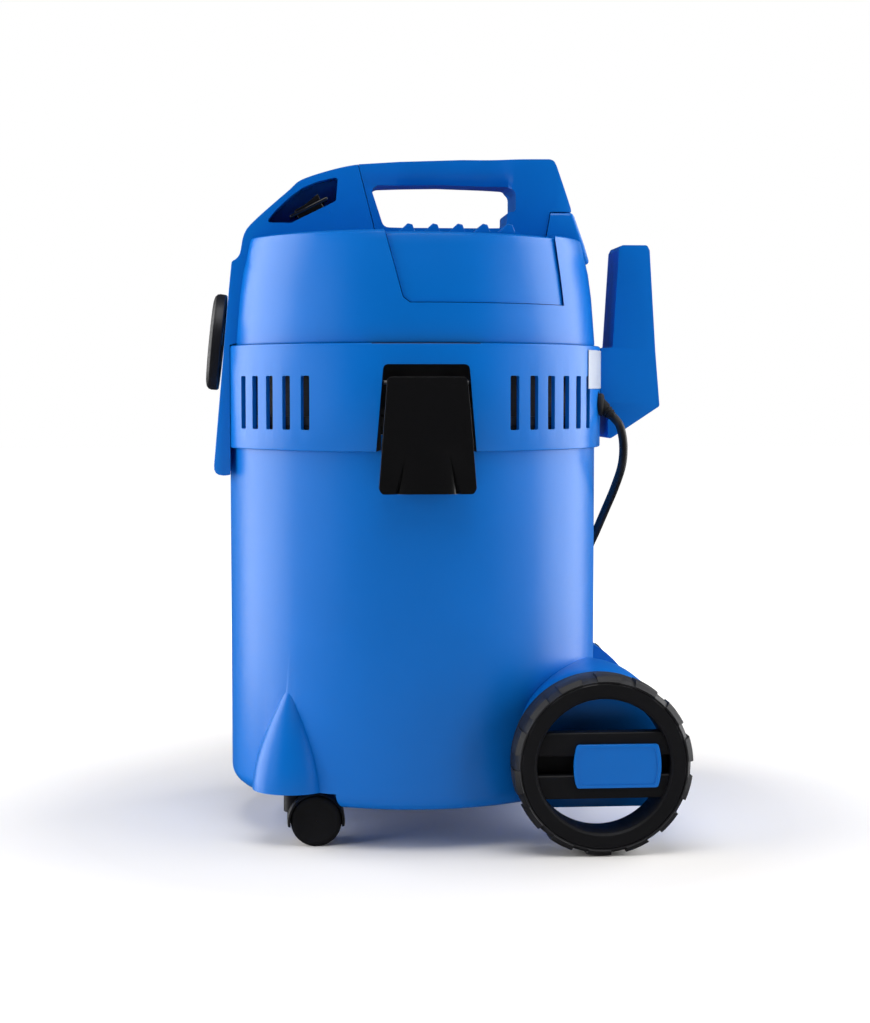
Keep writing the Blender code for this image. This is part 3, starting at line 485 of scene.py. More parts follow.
# %% [markdown]
# ## The mains cord
# A cord is a fixed length of something flexible, so its facts come first: 5 m of round rubber lead,
# 6.6 mm thick, that leaves the skirt through a sloping strain relief. It hangs down behind the tank,
# turns along the floor, and what isn't needed is wound up beside the machine with the plug on top.
# One smooth curve carries the free part. The coil is worked out turn by turn, so that every turn lies
# beside or on another one: four rows that go in, out, in and out again.

# %% The cord's route
CORD_RADIUS = 0.0033
SKIRT_RADIUS = 0.1457
GLAND_ANGLE, GLAND_Z, GLAND_DIP = radians(74.1), 0.322, radians(45)
RELIEF_END = 0.0145
COIL_CENTRE = Vector((-0.262, 0.0, 0.0))
COIL_START = (0.0671, radians(5.1), 0.0036)        # radius, angle and height where the coil begins
COIL_PITCH = 0.00675
COIL_STEPS = 64
ROW_RISE = 2 * CORD_RADIUS
PLUG_START = Vector((-0.2660, -0.0460, 0.0366))


def gland_point(distance):
    """A point on the cord's way out of the skirt, outwards and down."""
    reach = SKIRT_RADIUS + distance * cos(GLAND_DIP)
    return Vector((reach * cos(GLAND_ANGLE), reach * sin(GLAND_ANGLE), GLAND_Z - distance * sin(GLAND_DIP)))


FREE_ROUTE = (
    gland_point(RELIEF_END), gland_point(0.0190),
    (0.0460, 0.1560, 0.3030), (0.0462, 0.1583, 0.2900), (0.0420, 0.1580, 0.2740), (0.0300, 0.1545, 0.2560),
    (0.0120, 0.1505, 0.2380), (-0.0090, 0.1470, 0.2200), (-0.0270, 0.1428, 0.2020),
    (-0.0410, 0.1396, 0.1800), (-0.0500, 0.1366, 0.1550), (-0.0545, 0.1350, 0.1280),
    (-0.0555, 0.1352, 0.1020), (-0.0555, 0.1385, 0.0760), (-0.0550, 0.1450, 0.0510),
    (-0.0548, 0.1550, 0.0290), (-0.0565, 0.1690, 0.0125), (-0.0620, 0.1830, 0.0052),
    (-0.0720, 0.1950, 0.0036), (-0.0860, 0.2045, 0.0036), (-0.1040, 0.2105, 0.0036),
    (-0.1250, 0.2120, 0.0036), (-0.1460, 0.2080, 0.0036), (-0.1650, 0.1985, 0.0036),
    (-0.1800, 0.1840, 0.0036), (-0.1900, 0.1650, 0.0036), (-0.1955, 0.1420, 0.0036),
    (-0.1978, 0.1170, 0.0036), (-0.1980, 0.0900, 0.0036), (-0.1972, 0.0620, 0.0036),
    (-0.1960, 0.0340, 0.0036), (-0.1949, 0.0060, 0.0036),
)


def smooth_route(points, spacing):
    """Points at even distances along a smooth curve through the route's own points."""
    points = [Vector(p) for p in points]
    points = [2 * points[0] - points[1]] + points + [2 * points[-1] - points[-2]]
    fine = []
    for a, b, c, d in zip(points, points[1:], points[2:], points[3:]):
        for step in range(12):
            t = step / 12
            fine.append(0.5 * (2 * b + (c - a) * t + (2 * a - 5 * b + 4 * c - d) * t ** 2
                               + (3 * b - a - 3 * c + d) * t ** 3))
    fine.append(points[-2])
    even, walked, target = [fine[0]], 0.0, spacing
    for a, b in zip(fine, fine[1:]):
        step = (b - a).length
        while walked + step >= target:
            even.append(a.lerp(b, (target - walked) / step))
            target += spacing
        walked += step
    if (even[-1] - fine[-1]).length < spacing / 2:
        even.pop()
    return even + [fine[-1]]


def coil_route(row_turns, last_turns):
    """Winds clockwise from above: each row spirals the other way, one cord higher than the row below."""
    radius, angle, height = COIL_START
    points = []

    def wind(turns, radius_to, height_to):
        nonlocal radius, angle, height
        steps = max(1, round(turns * COIL_STEPS))
        radius_from, height_from = radius, height
        for step in range(1, steps + 1):
            t = step / steps
            eased = t * t * (3 - 2 * t)
            angle -= 2 * pi * turns / steps
            radius = radius_from + (radius_to - radius_from) * t
            height = height_from + (height_to - height_from) * eased
            points.append(COIL_CENTRE + Vector((radius * cos(angle), radius * sin(angle), height)))

    for row, turns in enumerate(row_turns):
        inwards = -1 if row % 2 == 0 else 1
        wind(turns, radius + inwards * turns * COIL_PITCH, height)
        wind(1 / 6, radius, height + ROW_RISE)
    end = PLUG_START - COIL_CENTRE
    wind(last_turns, hypot(end.x, end.y), end.z)
    return points


def length_of(points):
    return sum((b - a).length for a, b in zip(points, points[1:]))


ROW_TURNS = (3.8, 2.8, 2.7, 2.5)
end_angle = atan2(PLUG_START.y - COIL_CENTRE.y, PLUG_START.x - COIL_CENTRE.x)
wound = sum(ROW_TURNS) + len(ROW_TURNS) / 6
last_turns = (COIL_START[1] - end_angle) / (2 * pi) - wound
while last_turns < 0.35:
    last_turns += 1
cord_path = smooth_route(FREE_ROUTE, 0.004) + coil_route(ROW_TURNS, last_turns)
print("free cord", round(length_of(smooth_route(FREE_ROUTE, 0.004)), 3), "whole cord",
      round(length_of(cord_path), 3), "last turns", round(last_turns, 2))


# %% The cord as a tube
def tube(name, points, radius, resolution=4):
    curve = bpy.data.curves.new(name, "CURVE")
    curve.dimensions = "3D"
    curve.bevel_depth = radius
    curve.bevel_resolution = resolution
    curve.use_fill_caps = True
    curve.resolution_u = 1
    spline = curve.splines.new("POLY")
    spline.points.add(len(points) - 1)
    for point, spot in zip(spline.points, points):
        point.co = (*spot, 1)
    made = bpy.data.objects.new(name, curve)
    bpy.context.collection.objects.link(made)
    pick(made)
    bpy.ops.object.convert(target="MESH")
    made = named(bpy.context.object, name)
    bpy.ops.object.mode_set(mode="EDIT")
    bpy.ops.mesh.select_all(action="SELECT")
    bpy.ops.mesh.remove_doubles(threshold=0.00002)
    bpy.ops.mesh.normals_make_consistent(inside=False)
    bpy.ops.object.mode_set(mode="OBJECT")
    return made


cord = tube("mains_cord", cord_path, CORD_RADIUS)
smooth(cord, 60)
cord.location.y = AXIS_Y
settle(cord)
cord.data.materials.clear()
cord.data.materials.append(cord_sheath)
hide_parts("cord_tube", "cord_coil")
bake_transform(cord)

# %% The plug
x, y, z = PLUG_START
sleeve_rows = ((0.0040, 0.0003), (0.0047, 0.0015), (0.0047, 0.0035), (0.0041, 0.0045), (0.0052, 0.0060),
               (0.0052, 0.0080), (0.0046, 0.0090), (0.0060, 0.0108), (0.0060, 0.0128), (0.0054, 0.0140),
               (0.0072, 0.0165), (0.0078, 0.0220))
plug_sleeve = turned("plug_moulding", sleeve_rows, 40, False, PLUG_START, (-1, 0, 0))
plug_side = ((-0.018, 0.008), (-0.028, 0.0175), (-0.050, 0.0175), (-0.054, 0.014))
plug_shape = moved([(u, -v) for u, v in plug_side] + list(reversed(plug_side)), x, y)
plug_body = outlined("plug_body", [soft_corners(plug_shape, 0.004)], z - 0.0093, z + 0.0093, 0.0035, 4, "XY")
plug = union(plug_sleeve, plug_body)
plug = finish(plug, "tank", inner_plastic, ["mains_plug"])
pins = []
for side in (-1, 1):
    spot = y + side * 0.0095
    pins.append(turned(f"plug_pin_{side}", ((0.0024, 0.050), (0.0024, 0.0715), (0.0016, 0.0728)),
                       24, False, (x, spot, z), (-1, 0, 0)))
pick(pins[0])
pins[1].select_set(True)
bpy.ops.object.join()
pins = finish(named(bpy.context.object, "mains_plug_pins"), "tank", steel)

# %% [markdown]
# ## Strain relief
# Where the cord leaves the skirt it could be bent sharply and break. A rubber sleeve that gets thinner
# towards its end spreads the bend, and its rings let it flex. It is turned in one piece, and a flange
# holds it against the skirt.

# %% Strain relief
relief_rows = [(0.0052, -0.006), (0.0050, 0.0056)]
for ring in range(3):
    start = 0.0062 + ring * 0.0026
    thick = 0.0049 - ring * 0.0003
    relief_rows += [(thick, start), (thick, start + 0.0013), (thick - 0.0008, start + 0.0017),
                    (thick - 0.0008, start + 0.0024)]
relief_rows += [(0.0039, RELIEF_END - 0.0006), (0.0036, RELIEF_END)]
relief = turned("strain_relief", relief_rows, 40, False, gland_point(0), gland_point(1) - gland_point(0))
outwards = Vector((cos(GLAND_ANGLE), sin(GLAND_ANGLE), 0))
flange_rows = ((0.0085, 0.0006), (0.0085, 0.0026), (0.0076, 0.0038), (0.0050, 0.0042))
flange = turned("relief_flange", flange_rows, 48, False,
                outwards * SKIRT_RADIUS + Vector((0, 0, GLAND_Z - 0.0015)), outwards)
finish(union(relief, flange), "head", seal_rubber, ["cord_gland"])

# %% [markdown]
# ## The tank
# The tank is one deep blow-moulded shell. It has straight walls with a rounded bottom edge, two round
# housings at the back that carry the axle, and two pointed bulges in front over the casters. The shell
# is turned, the bulges are joined on, and only then is the inside cut out, so the walls end up even.

# %% Tank shell
TANK_RADIUS, TANK_BOTTOM, TANK_RIM = 0.1415, 0.029, 0.300
TANK_EDGE, WALL = 0.012, 0.003
AXLE_Y, WHEEL_RADIUS, AXLE_BORE = 0.125, 0.065, 0.0053
CASTER_X, CASTER_Y, CASTER_TRAIL = 0.100, -0.0935, 0.015


def tank_rows(inset, top):
    edge = TANK_EDGE - inset
    corner = arc((TANK_RADIUS - TANK_EDGE, TANK_BOTTOM + TANK_EDGE), edge, -90, 0, 8)
    return [(r, z) for r, z in corner] + [(TANK_RADIUS - inset, 0.15), (TANK_RADIUS - inset, top)]


tank = turned("tank_shell", tank_rows(0, TANK_RIM), 192, False)
HOUSING_RADIUS, HOUSING_IN, HOUSING_OUT = 0.0635, 0.060, 0.1240
HOUSING_LENGTH = HOUSING_OUT - HOUSING_IN
FOOT_STEPS = 24
FOOT_X, FOOT_Y, FOOT_RADIUS, FOOT_BASE, FOOT_APEX = 0.098, -0.096, 0.029, 0.036, 0.119
for side, sign in SIDES.items():
    housing_rows = moved(((0, 0), (0, HOUSING_LENGTH - 0.006), (-0.0018, HOUSING_LENGTH - 0.0018),
                          (-0.006, HOUSING_LENGTH)), HOUSING_RADIUS)
    housing = turned(f"housing_{side}", housing_rows, 128, False,
                     (sign * HOUSING_IN, AXLE_Y, WHEEL_RADIUS), (sign, 0, 0))
    cut(housing, block("housing_floor", (-0.2, 0.0, -0.01), (0.2, 0.25, TANK_BOTTOM - 0.0015)))
    rise = FOOT_APEX - FOOT_BASE
    foot_rows = [(FOOT_RADIUS, FOOT_BASE)]
    for step in range(1, FOOT_STEPS):
        part_way = step / FOOT_STEPS
        foot_rows.append((FOOT_RADIUS * cos(part_way * pi / 2), FOOT_BASE + rise * part_way))
    foot_rows.append((0.0004, FOOT_APEX))
    foot = turned(f"foot_{side}", foot_rows, 64, False, (sign * FOOT_X, FOOT_Y, 0))
    catch = block(f"catch_{side}", (sign * 0.139, -0.020, 0.263), (sign * 0.144, 0.020, 0.272), 0.0012)
    union(tank, housing, foot, catch)
cut(tank, turned("tank_inside", tank_rows(WALL, TANK_RIM + 0.01), 192, False))
POCKET_RADIUS, POCKET_TOP = 0.0388, 0.0402
for side, sign in SIDES.items():
    x = sign * CASTER_X
    pocket_wall = bar(f"pocket_wall_{side}", POCKET_RADIUS + WALL, (x, CASTER_Y, 0.02),
                      (x, CASTER_Y, POCKET_TOP + WALL), 64)
    boolean(pocket_wall, "INTERSECT", turned("pocket_limit", tank_rows(0.001, 0.1), 192, False))
    column = bar(f"column_{side}", 0.0125, (x, CASTER_Y, 0.035), (x, CASTER_Y, 0.085), 48)
    union(tank, pocket_wall, column)
    cut(tank, bar("pocket", POCKET_RADIUS, (x, CASTER_Y, 0.0), (x, CASTER_Y, POCKET_TOP), 64),
        bar("socket_hole", 0.0088, (x, CASTER_Y, 0.02), (x, CASTER_Y, 0.078), 32),
        bar("axle_hole", AXLE_BORE, (sign * 0.080, AXLE_Y, WHEEL_RADIUS),
            (sign * 0.20, AXLE_Y, WHEEL_RADIUS), 32))
finish(tank, "tank", blue_tank, ["tank"])

# %% [markdown]
# ## Rear wheels
# The big wheels let the machine be pulled over thresholds. Each has a hard tyre with tread blocks at
# its shoulder, and a rim that is open apart from two bars over a hub. One tread block is cut from a
# ring by evenly spaced gaps, so every block is the same and they keep to the tyre's curve.

# %% Tyres
RIM_RADIUS, RIM_OPENING = 0.0594, 0.0478
WHEEL_IN, WHEEL_OUT = 0.1290, 0.1640
TREAD_BLOCKS, TREAD_GAP, FIRST_GAP = 14, 0.0112, radians(10)
BAR_HEIGHT, BAR_GAP = 0.017, 0.0136


def wheel_turned(name, rows, sign, steps, ring=True):
    """Turned about the axle, with heights that count outwards from the middle of the machine."""
    return turned(name, rows, steps, ring, (0, AXLE_Y, WHEEL_RADIUS), (sign, 0, 0))


def tyre(side, sign):
    base = WHEEL_RADIUS - 0.0014
    rows = ((base - 0.0030, WHEEL_IN), (base, WHEEL_IN + 0.0035), (base, WHEEL_OUT - 0.0080),
            (base - 0.0010, WHEEL_OUT - 0.0035), (RIM_RADIUS + 0.0010, WHEEL_OUT - 0.0003),
            (RIM_RADIUS + 0.0002, WHEEL_OUT - 0.0004), (RIM_RADIUS + 0.0002, WHEEL_IN + 0.0006),
            (RIM_RADIUS + 0.0010, WHEEL_IN))
    made = wheel_turned(f"rear_tyre_{side}", rows, sign, 144)
    tread = moved(((-0.0040, -0.0200), (-0.0004, -0.0198), (0, -0.0190), (0, -0.0050), (-0.0008, -0.0022),
                   (-0.0042, 0.0004), (-0.0048, 0), (-0.0050, -0.0040)), WHEEL_RADIUS, WHEEL_OUT)
    treads = wheel_turned("treads", tread, sign, 144)
    for number in range(TREAD_BLOCKS):
        gap = block("tread_gap", (sign * 0.12, -TREAD_GAP / 2, 0.050), (sign * 0.17, TREAD_GAP / 2, 0.080))
        gap.rotation_euler.x = 2 * pi * number / TREAD_BLOCKS + FIRST_GAP
        settle(gap)
        gap.location = (0, AXLE_Y, WHEEL_RADIUS)
        cut(treads, gap)
    union(made, treads)
    return finish(made, f"wheel_{side}", tyre_rubber, [f"tyre_{side}"])


# %% Rims and plain hub badges
def rim(side, sign):
    rows = ((RIM_RADIUS, WHEEL_OUT - 0.0008), (RIM_RADIUS - 0.0008, WHEEL_OUT),
            (RIM_OPENING + 0.0022, WHEEL_OUT), (RIM_OPENING + 0.0006, WHEEL_OUT - 0.0010),
            (RIM_OPENING, WHEEL_OUT - 0.0030),
            (RIM_OPENING, WHEEL_IN + 0.0040), (RIM_OPENING + 0.0010, WHEEL_IN + 0.0030),
            (RIM_RADIUS - 0.0008, WHEEL_IN + 0.0030), (RIM_RADIUS, WHEEL_IN + 0.0040))
    made = wheel_turned(f"rear_rim_{side}", rows, sign, 144)
    reach = sqrt(RIM_RADIUS ** 2 - (BAR_GAP / 2 + BAR_HEIGHT) ** 2) - 0.0012
    for offset in (-1, 1):
        middle = WHEEL_RADIUS + offset * (BAR_GAP + BAR_HEIGHT) / 2
        union(made, block("bar", (sign * 0.1480, AXLE_Y - reach, middle - BAR_HEIGHT / 2),
                          (sign * 0.1605, AXLE_Y + reach, middle + BAR_HEIGHT / 2), 0.0014))
    union(made, block("web", (sign * 0.1440, AXLE_Y - reach, WHEEL_RADIUS - 0.012),
                      (sign * 0.1490, AXLE_Y + reach, WHEEL_RADIUS + 0.012)))
    hub_rows = ((0.014, WHEEL_IN), (0.014, 0.1565), (0.0128, 0.1578), (0.0110, 0.1585))
    union(made, wheel_turned("hub", hub_rows, sign, 64, False))
    cut(made, bar("hub_bore", AXLE_BORE, (sign * 0.10, AXLE_Y, WHEEL_RADIUS),
                  (sign * 0.1565, AXLE_Y, WHEEL_RADIUS), 32))
    return finish(made, f"wheel_{side}", wheel_plastic, [f"wheel_rim_{side}"])


def badge(side, sign):
    """A plain plate with convex ends and a shallow raised border. It carries no mark."""
    centre = (AXLE_Y + 0.0095, WHEEL_RADIUS)
    half, tall = 0.0315, 0.017
    ends = arc((centre[0] + half - 0.052, centre[1]), 0.052, -17.5, 17.5, 8)
    far_ends = arc((centre[0] - half + 0.052, centre[1]), 0.052, 162.5, 197.5, 8)
    shape = [(min(max(u, centre[0] - half), centre[0] + half),
              min(max(v, centre[1] - tall), centre[1] + tall)) for u, v in ends + far_ends]
    shape = soft_corners(shape, 0.0030, 3)
    made = outlined(f"hub_badge_{side}", [shape], *across(sign, 0.1608, 0.1640), 0.0008, 3)
    inner = [(centre[0] + (u - centre[0]) * 0.91, centre[1] + (v - centre[1]) * 0.85) for u, v in shape]
    cut(made, outlined("badge_field", [inner], *across(sign, 0.1635, 0.1660)))
    return finish(made, f"wheel_{side}", blue_cover, [f"wheel_badge_{side}"])


for side, sign in SIDES.items():
    tyre(side, sign)
    rim(side, sign)
    badge(side, sign)

# %% [markdown]
# ## Casters
# The front runs on twin-wheel casters. A hood covers the top of both wheels, a thin web between them
# carries the axle pin, and the stem turns in a bush inside the tank's bulge. The wheels stand a little
# behind the stem, which is what makes a caster follow the way it is pulled.

# %% Casters
CASTER_WHEEL_RADIUS, HOOD_RADIUS, HOOD_HALF = 0.0186, 0.0210, 0.0170


def caster(side, sign):
    x, wheel_y, axle_z = sign * CASTER_X, CASTER_Y + CASTER_TRAIL, CASTER_WHEEL_RADIUS
    rows = ((HOOD_RADIUS - 0.002, -HOOD_HALF), (HOOD_RADIUS - 0.0006, -HOOD_HALF + 0.0006),
            (HOOD_RADIUS, -HOOD_HALF + 0.002), (HOOD_RADIUS, HOOD_HALF - 0.002),
            (HOOD_RADIUS - 0.0006, HOOD_HALF - 0.0006), (HOOD_RADIUS - 0.002, HOOD_HALF))
    hood = turned(f"hood_{side}", rows, 96, False, (x, wheel_y, axle_z), (1, 0, 0))
    cut(hood, block("hood_cut", (x - 0.03, wheel_y - 0.03, -0.01),
                    (x + 0.03, wheel_y + 0.03, axle_z - 0.004)))
    union(hood, bar("web", 0.012, (x - 0.0028, wheel_y, axle_z), (x + 0.0028, wheel_y, axle_z), 48),
          bar("boss", 0.0085, (x, CASTER_Y, 0.0235), (x, CASTER_Y, 0.0397), 48))
    for offset in (-1, 1):
        half = "outer" if offset * sign > 0 else "inner"
        cut(hood, bar("wheel_space", CASTER_WHEEL_RADIUS + 0.0005, (x + offset * 0.0028, wheel_y, axle_z),
                      (x + offset * 0.0260, wheel_y, axle_z), 96))
        rows = ((0.0030, 0.0034), (CASTER_WHEEL_RADIUS - 0.0012, 0.0034), (CASTER_WHEEL_RADIUS, 0.0046),
                (CASTER_WHEEL_RADIUS, 0.0146), (CASTER_WHEEL_RADIUS - 0.0007, 0.0156),
                (CASTER_WHEEL_RADIUS - 0.0020, 0.0162), (CASTER_WHEEL_RADIUS - 0.0042, 0.0160),
                (CASTER_WHEEL_RADIUS - 0.0052, 0.0154), (0.0004, 0.0156), (0.0004, 0.0154), (0.0030, 0.0150))
        wheel = turned(f"twin_wheel_{half}_{side}", rows, 96, True, (x, wheel_y, axle_z), (offset, 0, 0))
        finish(wheel, f"caster_wheels_{side}", wheel_plastic, [f"caster_wheel_{half}_{side}"])
    cut(hood, bar("pin_bore", 0.0028, (x - 0.01, wheel_y, axle_z), (x + 0.01, wheel_y, axle_z), 24),
        bar("stem_bore", 0.0053, (x, CASTER_Y, 0.0354), (x, CASTER_Y, 0.05), 32))
    finish(hood, f"caster_{side}", wheel_plastic, [f"caster_hood_{side}"])


for side, sign in SIDES.items():
    caster(side, sign)

# %% [markdown]
# ## The skirt of the motor head
# The head drops over the tank's rim with a wide band. It carries the cooling slots and, on each side, a
# pocket where the latch turns. The band is turned with soft lips, and the slots are one rounded cutter
# that is copied round, five in front of each latch and six behind it. A thin ring behind the slots keeps
# daylight from showing through the machine. It is black as painted shade, the dark that shows through the
# slots, and the pockets are black too.

# %% Skirt
SKIRT_INNER, SKIRT_BOTTOM, SKIRT_TOP = 0.1422, 0.288, 0.365
SLOT_WIDTH, SLOT_LOW, SLOT_HIGH = 0.0075, 0.303, 0.342
SLOT_PITCH = radians(6.85)
SLOT_RUNS = ((radians(-63.3), 5), (radians(26.2), 6))
LATCH_POCKET_HALF, LATCH_POCKET_TOP = 0.0305, 0.350
INLET_Y, INLET_Z, INLET_TILT = -0.1470, 0.368, radians(6.0)
ELBOW_RADIUS = 0.021


def pocket_shape(bottom):
    """The latch pocket: a trapezoid that widens downwards, drawn from its top to a given height."""
    wide = LATCH_POCKET_HALF + (LATCH_POCKET_TOP - bottom) * 0.085
    return ((-wide, bottom), (wide, bottom), (LATCH_POCKET_HALF, LATCH_POCKET_TOP),
            (-LATCH_POCKET_HALF, LATCH_POCKET_TOP))


def placed_round(obj, angle, side):
    """Turns a piece drawn towards +X round the tank's axis, to an angle from the side of the machine."""
    obj.rotation_euler.z = angle if side > 0 else pi - angle
    return settle(obj)


skirt_rows = [(SKIRT_INNER, SKIRT_BOTTOM + 0.0012), (SKIRT_INNER + 0.0008, SKIRT_BOTTOM)]
skirt_rows += moved(((-0.0010, 0), (-0.0003, 0.0004), (0, 0.0012)), SKIRT_RADIUS, SKIRT_BOTTOM)
skirt_rows += moved(((0, -0.0014), (-0.0004, -0.0005), (-0.0014, 0)), SKIRT_RADIUS, SKIRT_TOP)
skirt = turned("skirt", skirt_rows + [(SKIRT_INNER, SKIRT_TOP)], 256)
for side, sign in SIDES.items():
    pocket_block = block("pocket_block", (sign * 0.1295, -0.0370, 0.3145),
                         (sign * 0.1448, 0.0370, LATCH_POCKET_TOP + 0.003))
    limit = bar("pocket_limit", SKIRT_RADIUS - 0.0010, (0, 0, 0.29), (0, 0, 0.37), 256)
    union(skirt, boolean(pocket_block, "INTERSECT", limit))
    for name, depth, bottom in (("pocket_space", 0.1320, 0.3175), ("pocket_mouth", 0.1385, 0.2800)):
        outline = soft_corners(pocket_shape(bottom), 0.004)
        cut(skirt, outlined(name, [outline], *across(sign, depth, 0.1600)))
    for first, count in SLOT_RUNS:
        for number in range(count):
            slot = block("slot", (0.135, -SLOT_WIDTH / 2, SLOT_LOW), (0.155, SLOT_WIDTH / 2, SLOT_HIGH),
                         0.0012)
            cut(skirt, placed_round(slot, first + number * SLOT_PITCH, sign))
# The ring behind the slots; the black it is given below is painted shade.
painted_shade_ring_rows = ((0.1296, 0.3040), (0.1312, 0.3040), (0.1312, 0.3480), (0.1296, 0.3480))
union(skirt, turned("baffle", painted_shade_ring_rows, 128))
cut(skirt, bar("elbow_hole", ELBOW_RADIUS + 0.0006, (0, -0.16, INLET_Z), (0, -0.10, INLET_Z), 64),
    bar("relief_hole", 0.0062, gland_point(-0.012), gland_point(0.012), 32))
finish(skirt, "head", blue_cover, ["head_skirt"])
# Faces inside the band, the ring behind the slots among them, take black plastic as painted shade; the pocket
# faces take the same black plastic.
skirt.data.materials.append(inner_plastic)
for face in skirt.data.polygons:
    x, y = face.center.x, face.center.y - AXIS_Y
    inside_band_painted_shade = hypot(x, y) < 0.1420
    inside_pocket = abs(y) < 0.040 and hypot(x, y) < SKIRT_RADIUS - 0.0008
    if inside_band_painted_shade or inside_pocket:
        face.material_index = 1

# %% [markdown]
# ## The cover
# A shallow dome closes the top, and a broad spine climbs its front to the hump with the switch. The
# dome is turned. The spine is an outline with a thickness, trimmed to its plan from above, and its
# long edges are rounded before it joins the dome, because a rounding is cleanest on a simple shape.

# %% Dome and hump
COVER_BOTTOM = 0.3653
DOME_ROWS = ((0.0004, 0.4520), (0.060, 0.4512), (0.100, 0.4482), (0.122, 0.4463), (0.1288, 0.4454),
             (0.1303, 0.4444), (0.1312, 0.4422), (0.1325, 0.4360), (0.1336, 0.430), (0.136, 0.420),
             (0.1385, 0.402), (0.140, 0.384), (0.1413, 0.3668), (0.1409, COVER_BOTTOM))
HUMP_SIDE = ((-0.1538, 0.267), (-0.141, 0.407), (-0.1388, 0.428), (-0.133, 0.4325), (-0.1295, 0.448),
             (-0.122, 0.458), (-0.096, 0.481), (-0.086, 0.4895), (-0.062, 0.498), (-0.042, 0.5025),
             (-0.020, 0.5045))
RIDGE_PLAN = ((-0.170, 0.040), (-0.100, 0.040), (-0.042, 0.027), (-0.008, 0.019), (0.060, 0.019),
              (0.080, 0.028), (0.130, 0.032))
HANDLE_SEAM = ((-0.0445, 0.509), (-0.016, 0.398), (-0.011, 0.394), (0.105, 0.394), (0.099, 0.443),
               (0.1035, 0.4675), (0.135, 0.4675), (0.135, 0.520), (-0.0475, 0.520))
GAP = 0.0005


def dome(name, inset, bottom=COVER_BOTTOM):
    rows = [(max(r - inset, 0.0004), z - inset) for r, z in DOME_ROWS[:-2]]
    return turned(name, rows + [(DOME_ROWS[-2][0] - inset, max(DOME_ROWS[-2][1] - inset, bottom + 0.001)),
                                (DOME_ROWS[-1][0] - inset, bottom)], 192, False)


def ridge(name, low, high, inset=0.0):
    """The plan from above that the hump, the grip and its rear end share."""
    right = [(half - inset, y) for y, half in RIDGE_PLAN]
    plan = soft_corners(right + [(-u, v) for u, v in reversed(right)], 0.05, 6)
    return outlined(name, [plan], low, high, 0, 0, "XY")


def widen(points, amount):
    """Moves the side seam's outline outwards by a gap."""
    return [(u - amount if u < 0.05 else u + amount, v - amount if v < 0.5 else v) for u, v in points]


def hump(name, inset):
    top = [tuple(spot) for spot in smooth_route(HUMP_SIDE[2:], 0.004)]
    front = [(u + inset, v - inset * 0.8) for u, v in (*HUMP_SIDE[:2], *top)]
    if inset:
        front[0] = (-0.1385, COVER_BOTTOM + 0.004)
        side = front + [(-0.020, 0.42), (-0.10, 0.40), (-0.12, COVER_BOTTOM + 0.004)]
    else:
        inner = COVER_BOTTOM + 0.003
        side = front + [(-0.020, 0.42), (-0.10, 0.40), (-0.12, inner), (-0.137, inner), (-0.137, 0.267)]
    made = outlined(name, [soft_corners(side, 0.012)], -0.05, 0.05)
    boolean(made, "INTERSECT", ridge(f"{name}_plan", 0.25, 0.55, inset))
    if not inset:
        rounded(made, 0.0042, 4, 50)
        outer = SKIRT_RADIUS + 0.0005
        cut(made, turned("spine_back", ((0.0004, 0.2), (outer, 0.2), (outer, COVER_BOTTOM),
                                        (TANK_RADIUS - 0.0005, COVER_BOTTOM + 0.0015),
                                        (0.0004, COVER_BOTTOM + 0.0015)), 192, False))
    return made


cover = dome("cover", 0)
union(cover, hump("hump", 0))
rear_wedge = ((0.090, 0.42), (0.1345, 0.428), (0.1300, 0.443), (0.1212, 0.4672), (0.090, 0.4672))
union(cover, rounded(outlined("rear_wedge", [rear_wedge], -0.031, 0.031), 0.003, 3, 50))
cut(cover, dome("dome_inside", WALL, COVER_BOTTOM - 0.001), hump("hump_inside", WALL))
cut(cover, outlined("seam", [widen(HANDLE_SEAM, GAP)], -0.16, 0.16))

# %% Switch recess in the hump
SWITCH_X, SWITCH_Y, SWITCH_Z = 0.0245, -0.0800, 0.4675
SWITCH_SLOPE = atan2(0.0144, 0.0284)
tray = ((-0.1175, 0.4525), (-0.0915, 0.4525), (-0.0540, 0.4715), (-0.0545, 0.4985), (-0.0860, 0.4882),
        (-0.0960, 0.4797), (-0.1175, 0.4605))
recess = ((-0.1134, 0.4570), (-0.0940, 0.4570), (-0.0654, 0.4716), (-0.0600, 0.4744), (-0.0585, 0.4925),
          (-0.0740, 0.4885), (-0.0860, 0.4832), (-0.0960, 0.4755), (-0.1060, 0.4660))


def sloped(obj):
    """Lays a piece drawn flat about the switch's pin onto the slope of the recess."""
    obj.rotation_euler.x = SWITCH_SLOPE
    obj.location = (0, SWITCH_Y, SWITCH_Z)
    return settle(obj)


tray_filling = outlined("switch_tray", [tray], 0.0075, 0.0450)
union(cover, boolean(tray_filling, "INTERSECT", hump("tray_limit", 0.0015)))
cut(cover, outlined("switch_recess", [soft_corners(recess, 0.0025)], 0.0105, 0.06))
SWITCH_HALF, SWITCH_REACH = 0.0077, 0.0125
cut(cover, sloped(block("switch_slot", (SWITCH_X - SWITCH_HALF, -SWITCH_REACH, -0.0090),
                        (SWITCH_X + SWITCH_HALF, SWITCH_REACH, 0.010))))
cut(cover, bar("cover_bore", ELBOW_RADIUS + 0.0006, (0, -0.17, INLET_Z), (0, -0.12, INLET_Z), 64))
finish(cover, "head", blue_cover, ["head_cover"], 30)

# %% [markdown]
# ## The handle saddle
# A saddle-shaped moulding lies over the dome. Its sides fill the gap in the cover a little lower
# than the dome, so a clean shadow line runs round them, and its middle rises into the carrying grip.
# The grip is narrower underneath, where the fingers close, than along its top.

